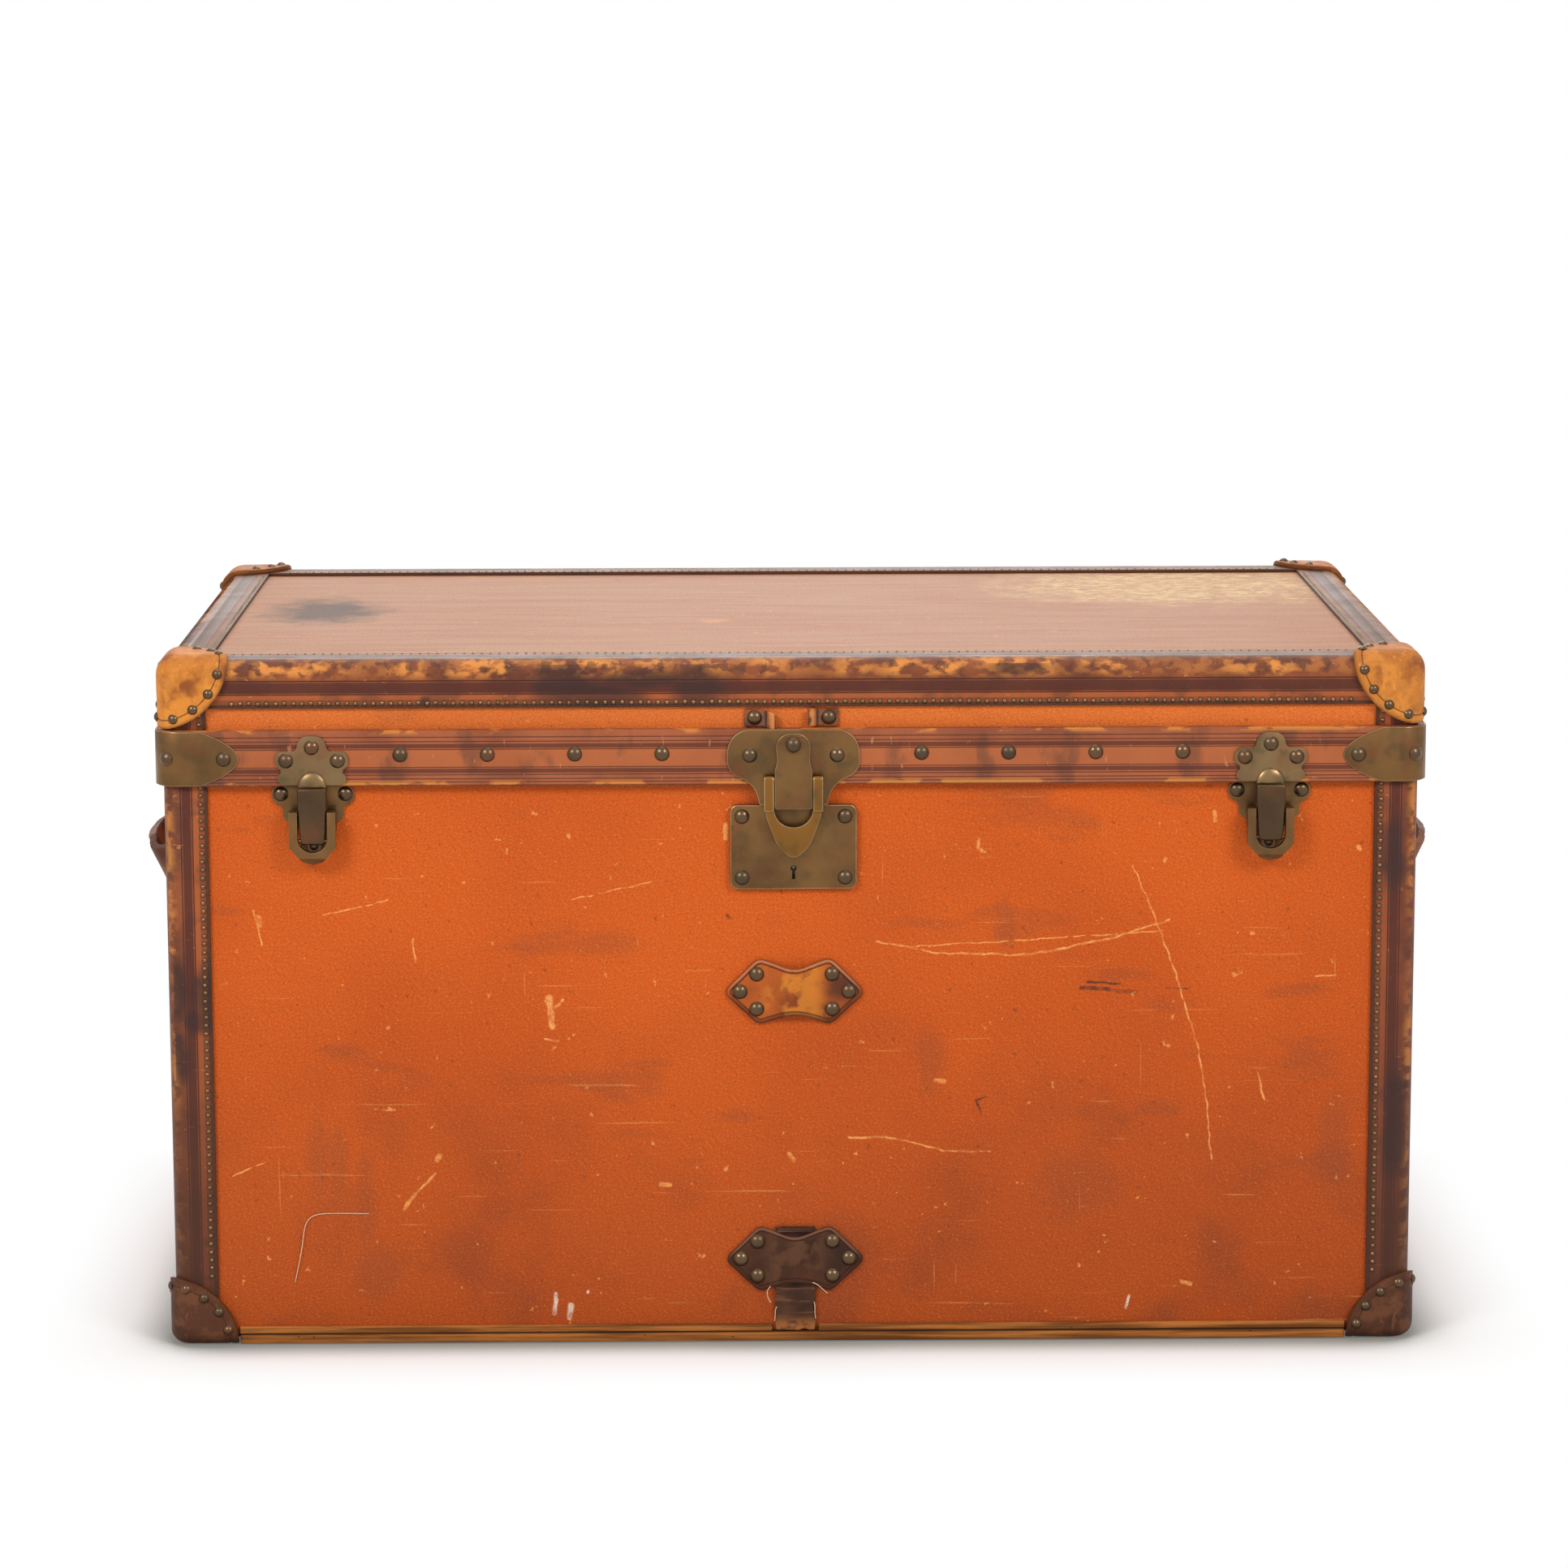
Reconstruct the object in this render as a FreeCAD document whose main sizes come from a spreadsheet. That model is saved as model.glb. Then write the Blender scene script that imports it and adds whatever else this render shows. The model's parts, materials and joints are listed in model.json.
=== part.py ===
import FreeCAD, Part
import math
import os
import re
import Sketcher
from FreeCAD import Placement, Rotation, Vector

# Travel trunk: a poplar box in painted canvas, edged with riveted leather, with a hinged lid.
# Millimetres. Origin at the middle of the footprint, +Z up, the front faces -Y.

DIMENSIONS = (
    # Box over its leather edging
    ("body_width", 1000.0),
    ("body_depth", 580.0),
    ("body_height", 560.0),
    ("lid_height", 90.0),
    ("joint_gap", 0.3),
    ("leather_thick", 3.0),
    ("canvas_thick", 1.5),
    ("board_thick", 10.0),
    ("base_thick", 12.0),
    ("lining_thick", 1.0),
    ("corner_radius", 14.0),
    ("edge_radius", 12.0),
    ("running_gap", 0.3),
    ("pin_play", 0.05),
    ("overrun", 5.0),
    # Leather edging and the bare strips under the front
    ("corner_trim_width", 35.5),
    ("edge_trim_width", 37.5),
    ("edge_trim_drop", 38.3),
    ("strip_low_height", 8.0),
    ("strip_high_height", 6.0),
    ("notch_play", 3.0),
    # Leather corner caps
    ("cap_thick", 4.5),
    ("cap_underside", 1.0),
    ("top_cap_reach", 59.5),
    ("base_cap_reach", 56.5),
    ("cap_rivet_inset", 7.0),
    ("cap_rivet_radius", 4.0),
    ("cap_rivet_height", 2.3),
    ("cap_rivet_start", 16.0),
    ("cap_rivet_step", 19.3),
    # Closing band with its brass corners
    ("band_low_drop", 10.0),
    ("band_height", 44.5),
    ("band_proud", 5.0),
    ("band_plate_thick", 1.2),
    ("band_plate_reach", 67.0),
    ("band_plate_nose", 31.5),
    ("band_plate_bow", 42.0),
    ("band_plate_inset", 0.5),
    ("band_plate_rivet_out", 10.0),
    ("band_plate_rivet_in", 54.7),
    ("band_rivet_first", 103.0),
    ("band_rivet_clear", 69.9),
    ("band_rivet_rise", 25.0),
    # Domed rivets
    ("rivet_radius", 6.0),
    ("rivet_height", 3.2),
    ("shank_radius", 2.4),
    ("shank_play", 0.1),
    # Hasp on the lid
    ("lock_centre", 1.3),
    ("plate_thick", 2.0),
    ("hasp_plate_lobe", 20.7),
    ("hasp_plate_half", 52.3),
    ("hasp_plate_neck", 28.7),
    ("hasp_plate_low_drop", 26.7),
    ("hasp_rivet_half", 34.7),
    ("strap_cover_width", 29.9),
    ("strap_cover_thick", 6.0),
    ("strap_cover_low_drop", 29.0),
    ("strap_cover_top_rise", 31.3),
    ("cover_rivet_rise", 22.8),
    ("hasp_half", 23.8),
    ("hasp_shoulder_half", 22.0),
    ("hasp_slot_half", 15.3),
    ("hasp_top_drop", 2.4),
    ("hasp_shoulder_drop", 31.2),
    ("hasp_slot_low_drop", 43.8),
    ("hasp_tip_drop", 69.5),
    ("hasp_side_bow", 70.0),
    ("hasp_thick", 6.0),
    ("hasp_pivot_drop", 3.0),
    ("hasp_pin_radius", 1.75),
    # Lock
    ("lock_width", 101.0),
    ("lock_low_drop", 95.4),
    ("lock_top_drop", 27.1),
    ("lock_corner", 6.0),
    ("lock_plate_thick", 5.0),
    ("lock_rivet_inset", 9.4),
    ("keyhole_centre_drop", 78.4),
    ("keyhole_radius", 2.4),
    ("keyhole_slot", 2.4),
    ("keyhole_drop", 8.8),
    ("lock_case_half", 31.0),
    ("lock_case_low_drop", 90.0),
    ("lock_case_height", 55.0),
    ("lock_wall", 1.5),
    ("lock_post_radius", 1.2),
    ("bolt_length", 34.0),
    ("bolt_height", 10.0),
    ("bolt_thick", 6.0),
    ("bolt_travel", 8.0),
    ("bolt_low_drop", 55.0),
    ("nose_height", 13.0),
    ("nose_half", 11.0),
    ("nose_thick", 2.2),
    # Clasps
    ("clasp_inset", 119.5),
    ("catch_centre_rise", 10.8),
    ("catch_lobe", 9.2),
    ("catch_side_lobe", 7.2),
    ("catch_side_half", 20.5),
    ("catch_top_rise", 10.6),
    ("catch_low_lobe", 4.5),
    ("catch_low_half", 23.2),
    ("catch_low_drop", 14.6),
    ("catch_body_half", 14.0),
    ("catch_bead_radius", 6.5),
    ("catch_bead_length", 23.0),
    ("catch_bead_proud", 3.5),
    ("catch_bead_drop", 4.6),
    ("catch_lift", 1.5),
    ("clasp_ear_lobe", 7.0),
    ("clasp_ear_half", 25.6),
    ("clasp_ear_drop", 17.0),
    ("clasp_plate_half", 24.0),
    ("clasp_plate_low_drop", 35.0),
    ("clasp_tongue_half", 10.0),
    ("clasp_foot_radius", 11.2),
    ("clasp_foot_drop", 59.8),
    ("clasp_lug_half", 11.0),
    ("clasp_lug_depth", 10.9),
    ("clasp_pivot_out", 8.4),
    ("clasp_lug_half_height", 6.0),
    ("lever_half", 18.5),
    ("lever_slot_half", 11.85),
    ("lever_top_drop", 29.6),
    ("lever_shoulder_drop", 58.0),
    ("lever_slot_low_drop", 63.1),
    ("lever_flat_half", 8.0),
    ("lever_low_drop", 70.0),
    ("lever_tip_drop", 72.3),
    ("lever_thick", 12.0),
    ("lever_foot_thick", 6.5),
    ("lever_foot_top_drop", 45.0),
    ("lever_pivot_drop", 33.6),
    ("lever_pin_radius", 1.6),
    ("finger_half", 11.5),
    ("finger_foot_half", 9.4),
    ("finger_top_drop", 10.8),
    ("finger_thick", 3.2),
    ("finger_knuckle", 3.0),
    ("finger_pivot_drop", 53.0),
    ("finger_pin_radius", 1.3),
    # Leather patches, the rest of the strap under the lower one, and the torn tabs
    ("patch_centre", 1.8),
    ("patch_half", 55.0),
    ("patch_lobe_half", 30.0),
    ("patch_half_height", 26.7),
    ("patch_waist_half_height", 17.6),
    ("patch_rivet_half", 30.2),
    ("patch_rivet_rise", 14.3),
    ("patch_rivet_reach", 43.6),
    ("patch_arch_half", 18.5),
    ("patch_arch_rise", 5.6),
    ("patch_arch_run", 3.5),
    ("upper_patch_drop", 179.4),
    ("lower_patch_height", 69.7),
    ("strap_centre", 2.0),
    ("strap_width", 32.0),
    ("strap_thick", 3.4),
    ("strap_low", 10.2),
    ("strap_top", 93.0),
    ("strap_roll", 3.0),
    ("tab_spacing", 29.5),
    ("tab_width", 27.0),
    ("tab_height", 14.5),
    ("tab_thick", 2.4),
    ("tab_low_rise", 35.5),
    ("tab_curl", 3.0),
    ("tab_rivet_inset", 8.0),
    # Handles on the two ends
    ("handle_half", 80.0),
    ("handle_reach", 29.0),
    ("handle_thick", 8.0),
    ("handle_grip_width", 42.0),
    ("handle_end_width", 21.0),
    ("handle_grip_half", 46.0),
    ("handle_bend", 20.0),
    ("handle_drop", 104.0),
    ("handle_tilt", 25.0),
    ("handle_pivot_out", 13.0),
    ("handle_pin_radius", 2.5),
    ("ear_thick", 2.5),
    ("ear_radius", 6.0),
    ("ear_play", 0.4),
    ("chape_width", 34.0),
    ("chape_height", 52.0),
    ("chape_rivet_rise", 19.0),
    # Hinges at the back
    ("hinge_spacing", 300.0),
    ("hinge_half", 30.0),
    ("hinge_barrel", 4.5),
    ("hinge_middle_half", 12.0),
    ("hinge_pin_radius", 2.5),
    ("hinge_leaf_drop", 58.0),
    ("hinge_leaf_rise", 40.0),
    ("hinge_leaf_lift", 5.2),
    ("hinge_web_gap", 0.6),
    ("hinge_rivet_inset", 10.0),
    # Lid stays of woven tape
    ("stay_case_drop", 70.0),
    ("stay_lid_rise", 50.0),
    ("stay_forward", 120.0),
    ("stay_width", 18.0),
    ("stay_thick", 1.2),
    ("stay_clear", 0.3),
    ("stay_plate_length", 30.0),
    ("stay_plate_height", 26.0),
    ("stay_plate_thick", 1.5),
    ("lid_open_angle", 100.0),
    # Shares of the sizes they follow
    ("cover_crown_share", 0.45),
    ("patch_waist_share", 0.8),
)

# Sizes worked out from the ones above
DERIVED = {
    # Heights that keep their place beside the joint between case and lid
    "joint_height": "body_height - lid_height",
    "band_low": "joint_height - band_low_drop",
    "hasp_plate_low": "joint_height - hasp_plate_low_drop",
    "strap_cover_low": "joint_height - strap_cover_low_drop",
    "strap_cover_top": "joint_height + strap_cover_top_rise",
    "cover_rivet_height": "joint_height + cover_rivet_rise",
    "hasp_top": "joint_height - hasp_top_drop",
    "hasp_shoulder_height": "joint_height - hasp_shoulder_drop",
    "hasp_slot_low": "joint_height - hasp_slot_low_drop",
    "hasp_tip": "joint_height - hasp_tip_drop",
    "lock_low": "joint_height - lock_low_drop",
    "lock_top": "joint_height - lock_top_drop",
    "keyhole_height": "joint_height - keyhole_centre_drop",
    "lock_case_low": "joint_height - lock_case_low_drop",
    "bolt_low": "joint_height - bolt_low_drop",
    "catch_height": "joint_height + catch_centre_rise",
    "catch_bead_height": "joint_height - catch_bead_drop",
    "clasp_ear_height": "joint_height - clasp_ear_drop",
    "clasp_plate_low": "joint_height - clasp_plate_low_drop",
    "clasp_foot_height": "joint_height - clasp_foot_drop",
    "lever_top": "joint_height - lever_top_drop",
    "lever_shoulder": "joint_height - lever_shoulder_drop",
    "lever_slot_low": "joint_height - lever_slot_low_drop",
    "lever_low": "joint_height - lever_low_drop",
    "lever_tip": "joint_height - lever_tip_drop",
    "lever_foot_top": "joint_height - lever_foot_top_drop",
    "lever_pivot_height": "joint_height - lever_pivot_drop",
    "finger_top": "joint_height - finger_top_drop",
    "finger_pivot_height": "joint_height - finger_pivot_drop",
    "upper_patch_height": "joint_height - upper_patch_drop",
    "tab_low": "joint_height + tab_low_rise",
    "handle_height": "joint_height - handle_drop",
    "stay_case_height": "joint_height - stay_case_drop",
    "stay_lid_height": "joint_height + stay_lid_rise",
    # The nested layers of the box, and what stands off them
    "leather_x": "body_width / 2",
    "leather_y": "body_depth / 2",
    "leather_low": "cap_underside",
    "leather_top": "body_height",
    "canvas_x": "leather_x - leather_thick",
    "canvas_y": "leather_y - leather_thick",
    "canvas_low": "leather_low + leather_thick",
    "canvas_top": "leather_top - leather_thick",
    "canvas_corner": "corner_radius - leather_thick",
    "canvas_edge": "edge_radius - leather_thick",
    "wood_x": "canvas_x - canvas_thick",
    "wood_y": "canvas_y - canvas_thick",
    "wood_low": "canvas_low + canvas_thick",
    "wood_top": "canvas_top - canvas_thick",
    "wood_corner": "canvas_corner - canvas_thick",
    "wood_edge": "canvas_edge - canvas_thick",
    "cavity_x": "wood_x - board_thick",
    "cavity_y": "wood_y - board_thick",
    "cavity_low": "wood_low + base_thick",
    "cavity_top": "wood_top - board_thick",
    "inner_x": "cavity_x - lining_thick",
    "inner_y": "cavity_y - lining_thick",
    "case_top": "joint_height - joint_gap",
    "cap_x": "leather_x + cap_thick",
    "cap_y": "leather_y + cap_thick",
    "cap_top": "leather_top + cap_thick",
    "cap_corner": "corner_radius + cap_thick",
    "cap_edge": "edge_radius + cap_thick",
    "band_top": "band_low + band_height",
    "clasp_spacing": "leather_x - clasp_inset",
    "band_rivet_pitch": "(clasp_spacing - band_rivet_first - band_rivet_clear) / 3",
    "band_x": "leather_x + band_proud",
    "band_y": "leather_y + band_proud",
    "band_corner": "corner_radius + band_proud",
    "band_in_x": "canvas_x + running_gap",
    "band_in_y": "canvas_y + running_gap",
    "band_in_corner": "canvas_corner + running_gap",
    "trim_top": "band_low - running_gap",
    "strip_high_low": "leather_low + strip_low_height",
    "strip_high_top": "strip_high_low + strip_high_height",
    "edge_trim_low": "leather_top - edge_trim_drop",
    "hinge_y": "band_y + hinge_barrel + running_gap",
    "plate_y": "band_y + plate_thick",
    "hasp_y": "plate_y + running_gap + hasp_thick / 2",
    "lever_y": "canvas_y + clasp_pivot_out",
    "finger_out": "band_y + plate_thick + catch_bead_proud + running_gap + finger_thick",
    "lever_out": "finger_out + running_gap",
    "finger_pin_y": "finger_out - finger_knuckle",
    "handle_x": "canvas_x + handle_pivot_out",
    "chape_y": "handle_half - handle_thick / 2",
}

doc = FreeCAD.newDocument("travel_trunk")
sheet = doc.addObject("Spreadsheet::Sheet", "Dims")
for row, (alias, size) in enumerate(DIMENSIONS, start=1):
    sheet.set(f"A{row}", alias)
    sheet.set(f"B{row}", str(size))
    sheet.setAlias(f"B{row}", alias)
doc.recompute()

ALIASES = {alias for alias, size in DIMENSIONS}
PARALLEL_TOLERANCE = 1e-6
STAY_STEPS = 12
PARTS = {}
PLANE_OF_NORMAL = {"X": "YZ_Plane", "Y": "XZ_Plane", "Z": "XY_Plane"}
AXIS_TURN = {
    "X": Rotation(Vector(0, 1, 0), 90),
    "Y": Rotation(Vector(1, 0, 0), -90),
    "Z": Rotation(),
}


def bound(text):
    """The same sum with every size tied to its cell of the sheet."""
    def swap(match):
        word = match.group(0)
        if word in DERIVED:
            return "(" + bound(DERIVED[word]) + ")"
        if word in ALIASES:
            return "Dims." + word
        return word
    return re.sub(r"[A-Za-z_]\w*", swap, text)


def number(text):
    return float(sheet.evalExpression(bound(text)))


def bind(obj, prop, text):
    obj.setExpression(prop, bound(text))


def put(obj, x="0", y="0", z="0"):
    for axis, text in (("x", x), ("y", y), ("z", z)):
        bind(obj, "Placement.Base." + axis, text)


def piece(label, obj):
    """Names a finished sub-part; its label is its node."""
    obj.Label = label
    PARTS[label] = obj
    return obj


def box(name, x_span, y_span, z_span):
    block = doc.addObject("Part::Box", name)
    for prop, (low, high) in zip(("Length", "Width", "Height"), (x_span, y_span, z_span)):
        bind(block, prop, f"({high}) - ({low})")
    put(block, x_span[0], y_span[0], z_span[0])
    return block


def rod(name, axis, radius, length, x="0", y="0", z="0"):
    """A cylinder centred on a point, along one axis."""
    cylinder = doc.addObject("Part::Cylinder", name)
    bind(cylinder, "Radius", radius)
    bind(cylinder, "Height", length)
    cylinder.Placement = Placement(Vector(), AXIS_TURN[axis])
    starts = {"X": x, "Y": y, "Z": z}
    starts[axis] = f"({starts[axis]}) - ({length}) / 2"
    put(cylinder, starts["X"], starts["Y"], starts["Z"])
    return cylinder


def disc(name, radius, thick, x, face_y, z):
    """A round plate that stands out from an upright face, towards the front."""
    return rod(name, "Y", radius, thick, x, f"-({face_y}) - ({thick}) / 2", z)


def cut(name, base, tool):
    result = doc.addObject("Part::Cut", name)
    result.Base = base
    result.Tool = tool
    return result


def fuse(name, shapes):
    result = doc.addObject("Part::MultiFuse", name)
    result.Shapes = shapes
    return result


def common(name, shapes):
    result = doc.addObject("Part::MultiCommon", name)
    result.Shapes = shapes
    return result


def group(name, members):
    result = doc.addObject("Part::Compound", name)
    result.Links = members
    return result


def mirrored(name, base, normal):
    result = doc.addObject("Part::Mirroring", name)
    result.Source = base
    result.Normal = normal
    return result


def left_and_right(label, right_one):
    other = mirrored(label + "_mirrored", right_one, Vector(1, 0, 0))
    return piece(label, group(label + "_group", [right_one, other]))


def four_corners(label, first):
    pair = group(label + "_pair", [first, mirrored(label + "_across", first, Vector(1, 0, 0))])
    rear = mirrored(label + "_rear", pair, Vector(0, 1, 0))
    return piece(label, group(label + "_group", [pair, rear]))


def solid(label, shape, place=None):
    """A free-form sub-part, worked out from the sheet's values."""
    feature = doc.addObject("Part::Feature", label + "_form")
    feature.Shape = shape
    feature.Placement = place or Placement()
    return feature


def sketch(body, name, normal, points):
    """A closed outline. Each point is (across, up, bow): bow names the radius of the arc that leads
    to the next point, and a minus before it bends the arc inwards."""
    outline = body.newObject("Sketcher::SketchObject", name)
    plane = next(f for f in body.Origin.OriginFeatures if f.Role == PLANE_OF_NORMAL[normal])
    outline.AttachmentSupport = (plane, [""])
    outline.MapMode = "FlatFace"
    corners = [Vector(number(across), number(up), 0) for across, up, bow in points]
    ends = []
    for index, (across, up, bow) in enumerate(points):
        start = corners[index]
        stop = corners[(index + 1) % len(corners)]
        if bow is None:
            outline.addGeometry(Part.LineSegment(start, stop), False)
            ends.append((1, 2))
            continue
        radius = number(bow.lstrip("-"))
        chord = stop - start
        side = Vector(-chord.y, chord.x, 0).normalize()
        height = math.sqrt(radius ** 2 - (chord.Length / 2) ** 2)
        inward = bow.startswith("-")
        centre = start + chord / 2 + side * (-height if inward else height)
        first, last = (stop, start) if inward else (start, stop)
        angles = [math.atan2(end.y - centre.y, end.x - centre.x) for end in (first, last)]
        circle = Part.Circle(centre, Vector(0, 0, 1), radius)
        outline.addGeometry(Part.ArcOfCircle(circle, angles[0], angles[1]), False)
        ends.append((2, 1) if inward else (1, 2))
    for index in range(len(points)):
        after = (index + 1) % len(points)
        outline.addConstraint(
            Sketcher.Constraint("Coincident", index, ends[index][1], after, ends[after][0]))
    for index, (across, up, bow) in enumerate(points):
        for kind, text in (("DistanceX", across), ("DistanceY", up)):
            start_end = ends[index][0]
            key = outline.addConstraint(
                Sketcher.Constraint(kind, -1, 1, index, start_end, number(text)))
            outline.setExpression(f"Constraints[{key}]", bound(text))
        if bow is not None:
            plain = bow.lstrip("-")
            key = outline.addConstraint(Sketcher.Constraint("Radius", index, number(plain)))
            outline.setExpression(f"Constraints[{key}]", bound(plain))
    return outline


def rectangle(half_across, low, high):
    return [(f"-({half_across})", low, None), (half_across, low, None),
            (half_across, high, None), (f"-({half_across})", high, None)]


def slab(name, normal, points, thick, x="0", y="0", z="0"):
    """A body padded from one outline; a front outline grows towards -Y."""
    body = doc.addObject("PartDesign::Body", name)
    outline = sketch(body, name + "_outline", normal, points)
    pad = body.newObject("PartDesign::Pad", name + "_pad")
    pad.Profile = outline
    bind(pad, "Length", thick)
    put(body, x, y, z)
    doc.recompute()
    return body


def round_edges(body, name, radius, wanted):
    """Rounds the edges of a body's last feature that a test picks."""
    tip = body.Tip
    picked = [f"Edge{i + 1}" for i, edge in enumerate(tip.Shape.Edges) if wanted(edge)]
    fillet = body.newObject("PartDesign::Fillet", name)
    fillet.Base = (tip, picked)
    bind(fillet, "Radius", radius)
    doc.recompute()
    return fillet


def runs_along(axis):
    def test(edge):
        return abs(abs(edge.tangentAt(edge.FirstParameter).dot(axis)) - 1) < PARALLEL_TOLERANCE
    return test


def rounded_block(name, half_x, half_y, low, high, corner, rim=None, rim_at=None):
    outline = rectangle(half_x, f"-({half_y})", half_y)
    body = slab(name, "Z", outline, f"({high}) - ({low})", z=low)
    round_edges(body, name + "_corners", corner, runs_along(Vector(0, 0, 1)))
    if rim:
        level = number(rim_at) - number(low)
        near = number("pin_play")

        def at_rim(edge):
            return all(abs(vertex.Z - level) < near for vertex in edge.Vertexes)

        round_edges(body, name + "_rim", rim, at_rim)
    return body


def dome(place, normal, radius, height, shank_radius=0.0, shank_length=0.0):
    """A domed rivet head on a surface, with the part of its shank that crosses the plate."""
    ball = (radius ** 2 + height ** 2) / (2 * height)
    start = math.degrees(math.asin((ball - height) / ball))
    centre = place - normal * (ball - height)
    head = Part.makeSphere(ball, centre, normal, start, 90, 360)
    if not shank_length:
        return head
    shank = Part.makeCylinder(shank_radius, shank_length, place - normal * shank_length, normal)
    return head.fuse(shank)


def rivets(places, shank_length, radius="rivet_radius", height="rivet_height"):
    """One head with its shank for each (place, outward direction)."""
    size = (number(radius), number(height), number("shank_radius"), shank_length)
    return [dome(place, normal, *size) for place, normal in places]


def drilled(name, base, places, depth):
    """Bores the shank holes that a set of rivets needs through a plate."""
    radius = number("shank_radius + shank_play")
    reach = depth + 2 * number("overrun")
    bores = [Part.makeCylinder(radius, reach, at + way * (reach - depth) / 2, -way)
             for at, way in places]
    return cut(name, base, solid(name + "_bores", Part.makeCompound(bores)))


FRONT = Vector(0, -1, 0)
BACK = Vector(0, 1, 0)
RIGHT = Vector(1, 0, 0)
LEFT = Vector(-1, 0, 0)
UP = Vector(0, 0, 1)


def front_places(pairs, face_y):
    """Rivet places on an upright face that looks to the front."""
    return [(Vector(number(x), -number(face_y), number(z)), FRONT) for x, z in pairs]


def on_both_sides(places):
    """The rivet places of the right half, and the same on the left."""
    return places + [(Vector(-at.x, at.y, at.z), Vector(-way.x, way.y, way.z))
                     for at, way in places]


# Nested rounded blocks: each layer of the box is what lies between two of them
def layer_block(kind, layer, lid):
    if lid:
        low, high, rim_at = "joint_height - overrun", layer + "_top", layer + "_top"
    else:
        low, high, rim_at = layer + "_low", "joint_height + overrun", layer + "_low"
    corner = {"leather": "corner_radius", "canvas": "canvas_corner", "wood": "wood_corner"}[layer]
    edge = {"leather": "edge_radius", "canvas": "canvas_edge", "wood": "wood_edge"}[layer]
    return rounded_block(f"{kind}_{layer}_block", layer + "_x", layer + "_y", low, high,
                         corner, edge, rim_at)


case_leather = layer_block("case", "leather", False)
case_canvas = layer_block("case", "canvas", False)
case_wood = layer_block("case", "wood", False)
lid_leather = layer_block("lid", "leather", True)
lid_canvas = layer_block("lid", "canvas", True)
lid_wood = layer_block("lid", "wood", True)

ALL_X = ("-leather_x - overrun", "leather_x + overrun")
ALL_Y = ("-leather_y - overrun", "leather_y + overrun")
CASE_Z = ("-overrun", "case_top")
LID_Z = ("joint_height", "leather_top + overrun")


def wood_boards():
    lock_hole = box("lock_hole", ("lock_centre - lock_case_half - running_gap",
                                  "lock_centre + lock_case_half + running_gap"),
                    ("-canvas_y - overrun", "-cavity_y + overrun"),
                    ("lock_case_low - running_gap",
                     "lock_case_low + lock_case_height + running_gap"))
    wall_z = ("cavity_low", "case_top")
    board = box("bottom_region", ALL_X, ALL_Y, ("wood_low", "cavity_low"))
    piece("bottom_board", common("bottom_board_cut", [case_wood, board]))
    front = common("front_board", [case_wood, box("front_region", ALL_X, (ALL_Y[0], "-cavity_y"),
                                                  wall_z)])
    piece("front_panel", cut("front_board_bored", front, lock_hole))
    back = box("back_region", ALL_X, ("cavity_y", ALL_Y[1]), wall_z)
    piece("back_panel", common("back_board", [case_wood, back]))
    inner = ("-cavity_y", "cavity_y")
    left = box("left_region", (ALL_X[0], "-cavity_x"), inner, wall_z)
    piece("left_panel", common("left_board", [case_wood, left]))
    right = box("right_region", ("cavity_x", ALL_X[1]), inner, wall_z)
    piece("right_panel", common("right_board", [case_wood, right]))

    rail_z = ("joint_height", "cavity_top")
    top = box("top_region", ALL_X, ALL_Y, ("cavity_top", "leather_top"))
    piece("lid_board", common("lid_board_cut", [lid_wood, top]))
    spans = ((ALL_X, (ALL_Y[0], "-cavity_y")), (ALL_X, ("cavity_y", ALL_Y[1])),
             ((ALL_X[0], "-cavity_x"), inner), (("cavity_x", ALL_X[1]), inner))
    rails = [common(f"rail_{i}", [lid_wood, box(f"rail_region_{i}", xs, ys, rail_z)])
             for i, (xs, ys) in enumerate(spans)]
    piece("lid_rails", group("lid_rail_group", rails))
    return lock_hole


def skins(lock_hole):
    shell = cut("case_canvas_shell", case_canvas, case_wood)
    trimmed = common("case_canvas_trimmed", [shell, box("case_zone", ALL_X, ALL_Y, CASE_Z)])
    piece("case_canvas", cut("case_canvas_bored", trimmed, lock_hole))
    lid_shell = cut("lid_canvas_shell", lid_canvas, lid_wood)
    lid_zone = box("lid_zone", ALL_X, ALL_Y, LID_Z)
    piece("lid_canvas", common("lid_canvas_trimmed", [lid_shell, lid_zone]))

    outer = box("lining_outer", ("-cavity_x", "cavity_x"), ("-cavity_y", "cavity_y"),
                ("cavity_low", "case_top"))
    inner = box("lining_inner", ("-inner_x", "inner_x"), ("-inner_y", "inner_y"),
                ("cavity_low + lining_thick", "case_top + overrun"))
    piece("case_lining", cut("case_lining_cut", outer, inner))
    outer = box("lid_lining_outer", ("-cavity_x", "cavity_x"), ("-cavity_y", "cavity_y"),
                ("joint_height", "cavity_top"))
    inner = box("lid_lining_inner", ("-inner_x", "inner_x"), ("-inner_y", "inner_y"),
                ("joint_height - overrun", "cavity_top - lining_thick"))
    piece("lid_lining", cut("lid_lining_cut", outer, inner))


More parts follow.
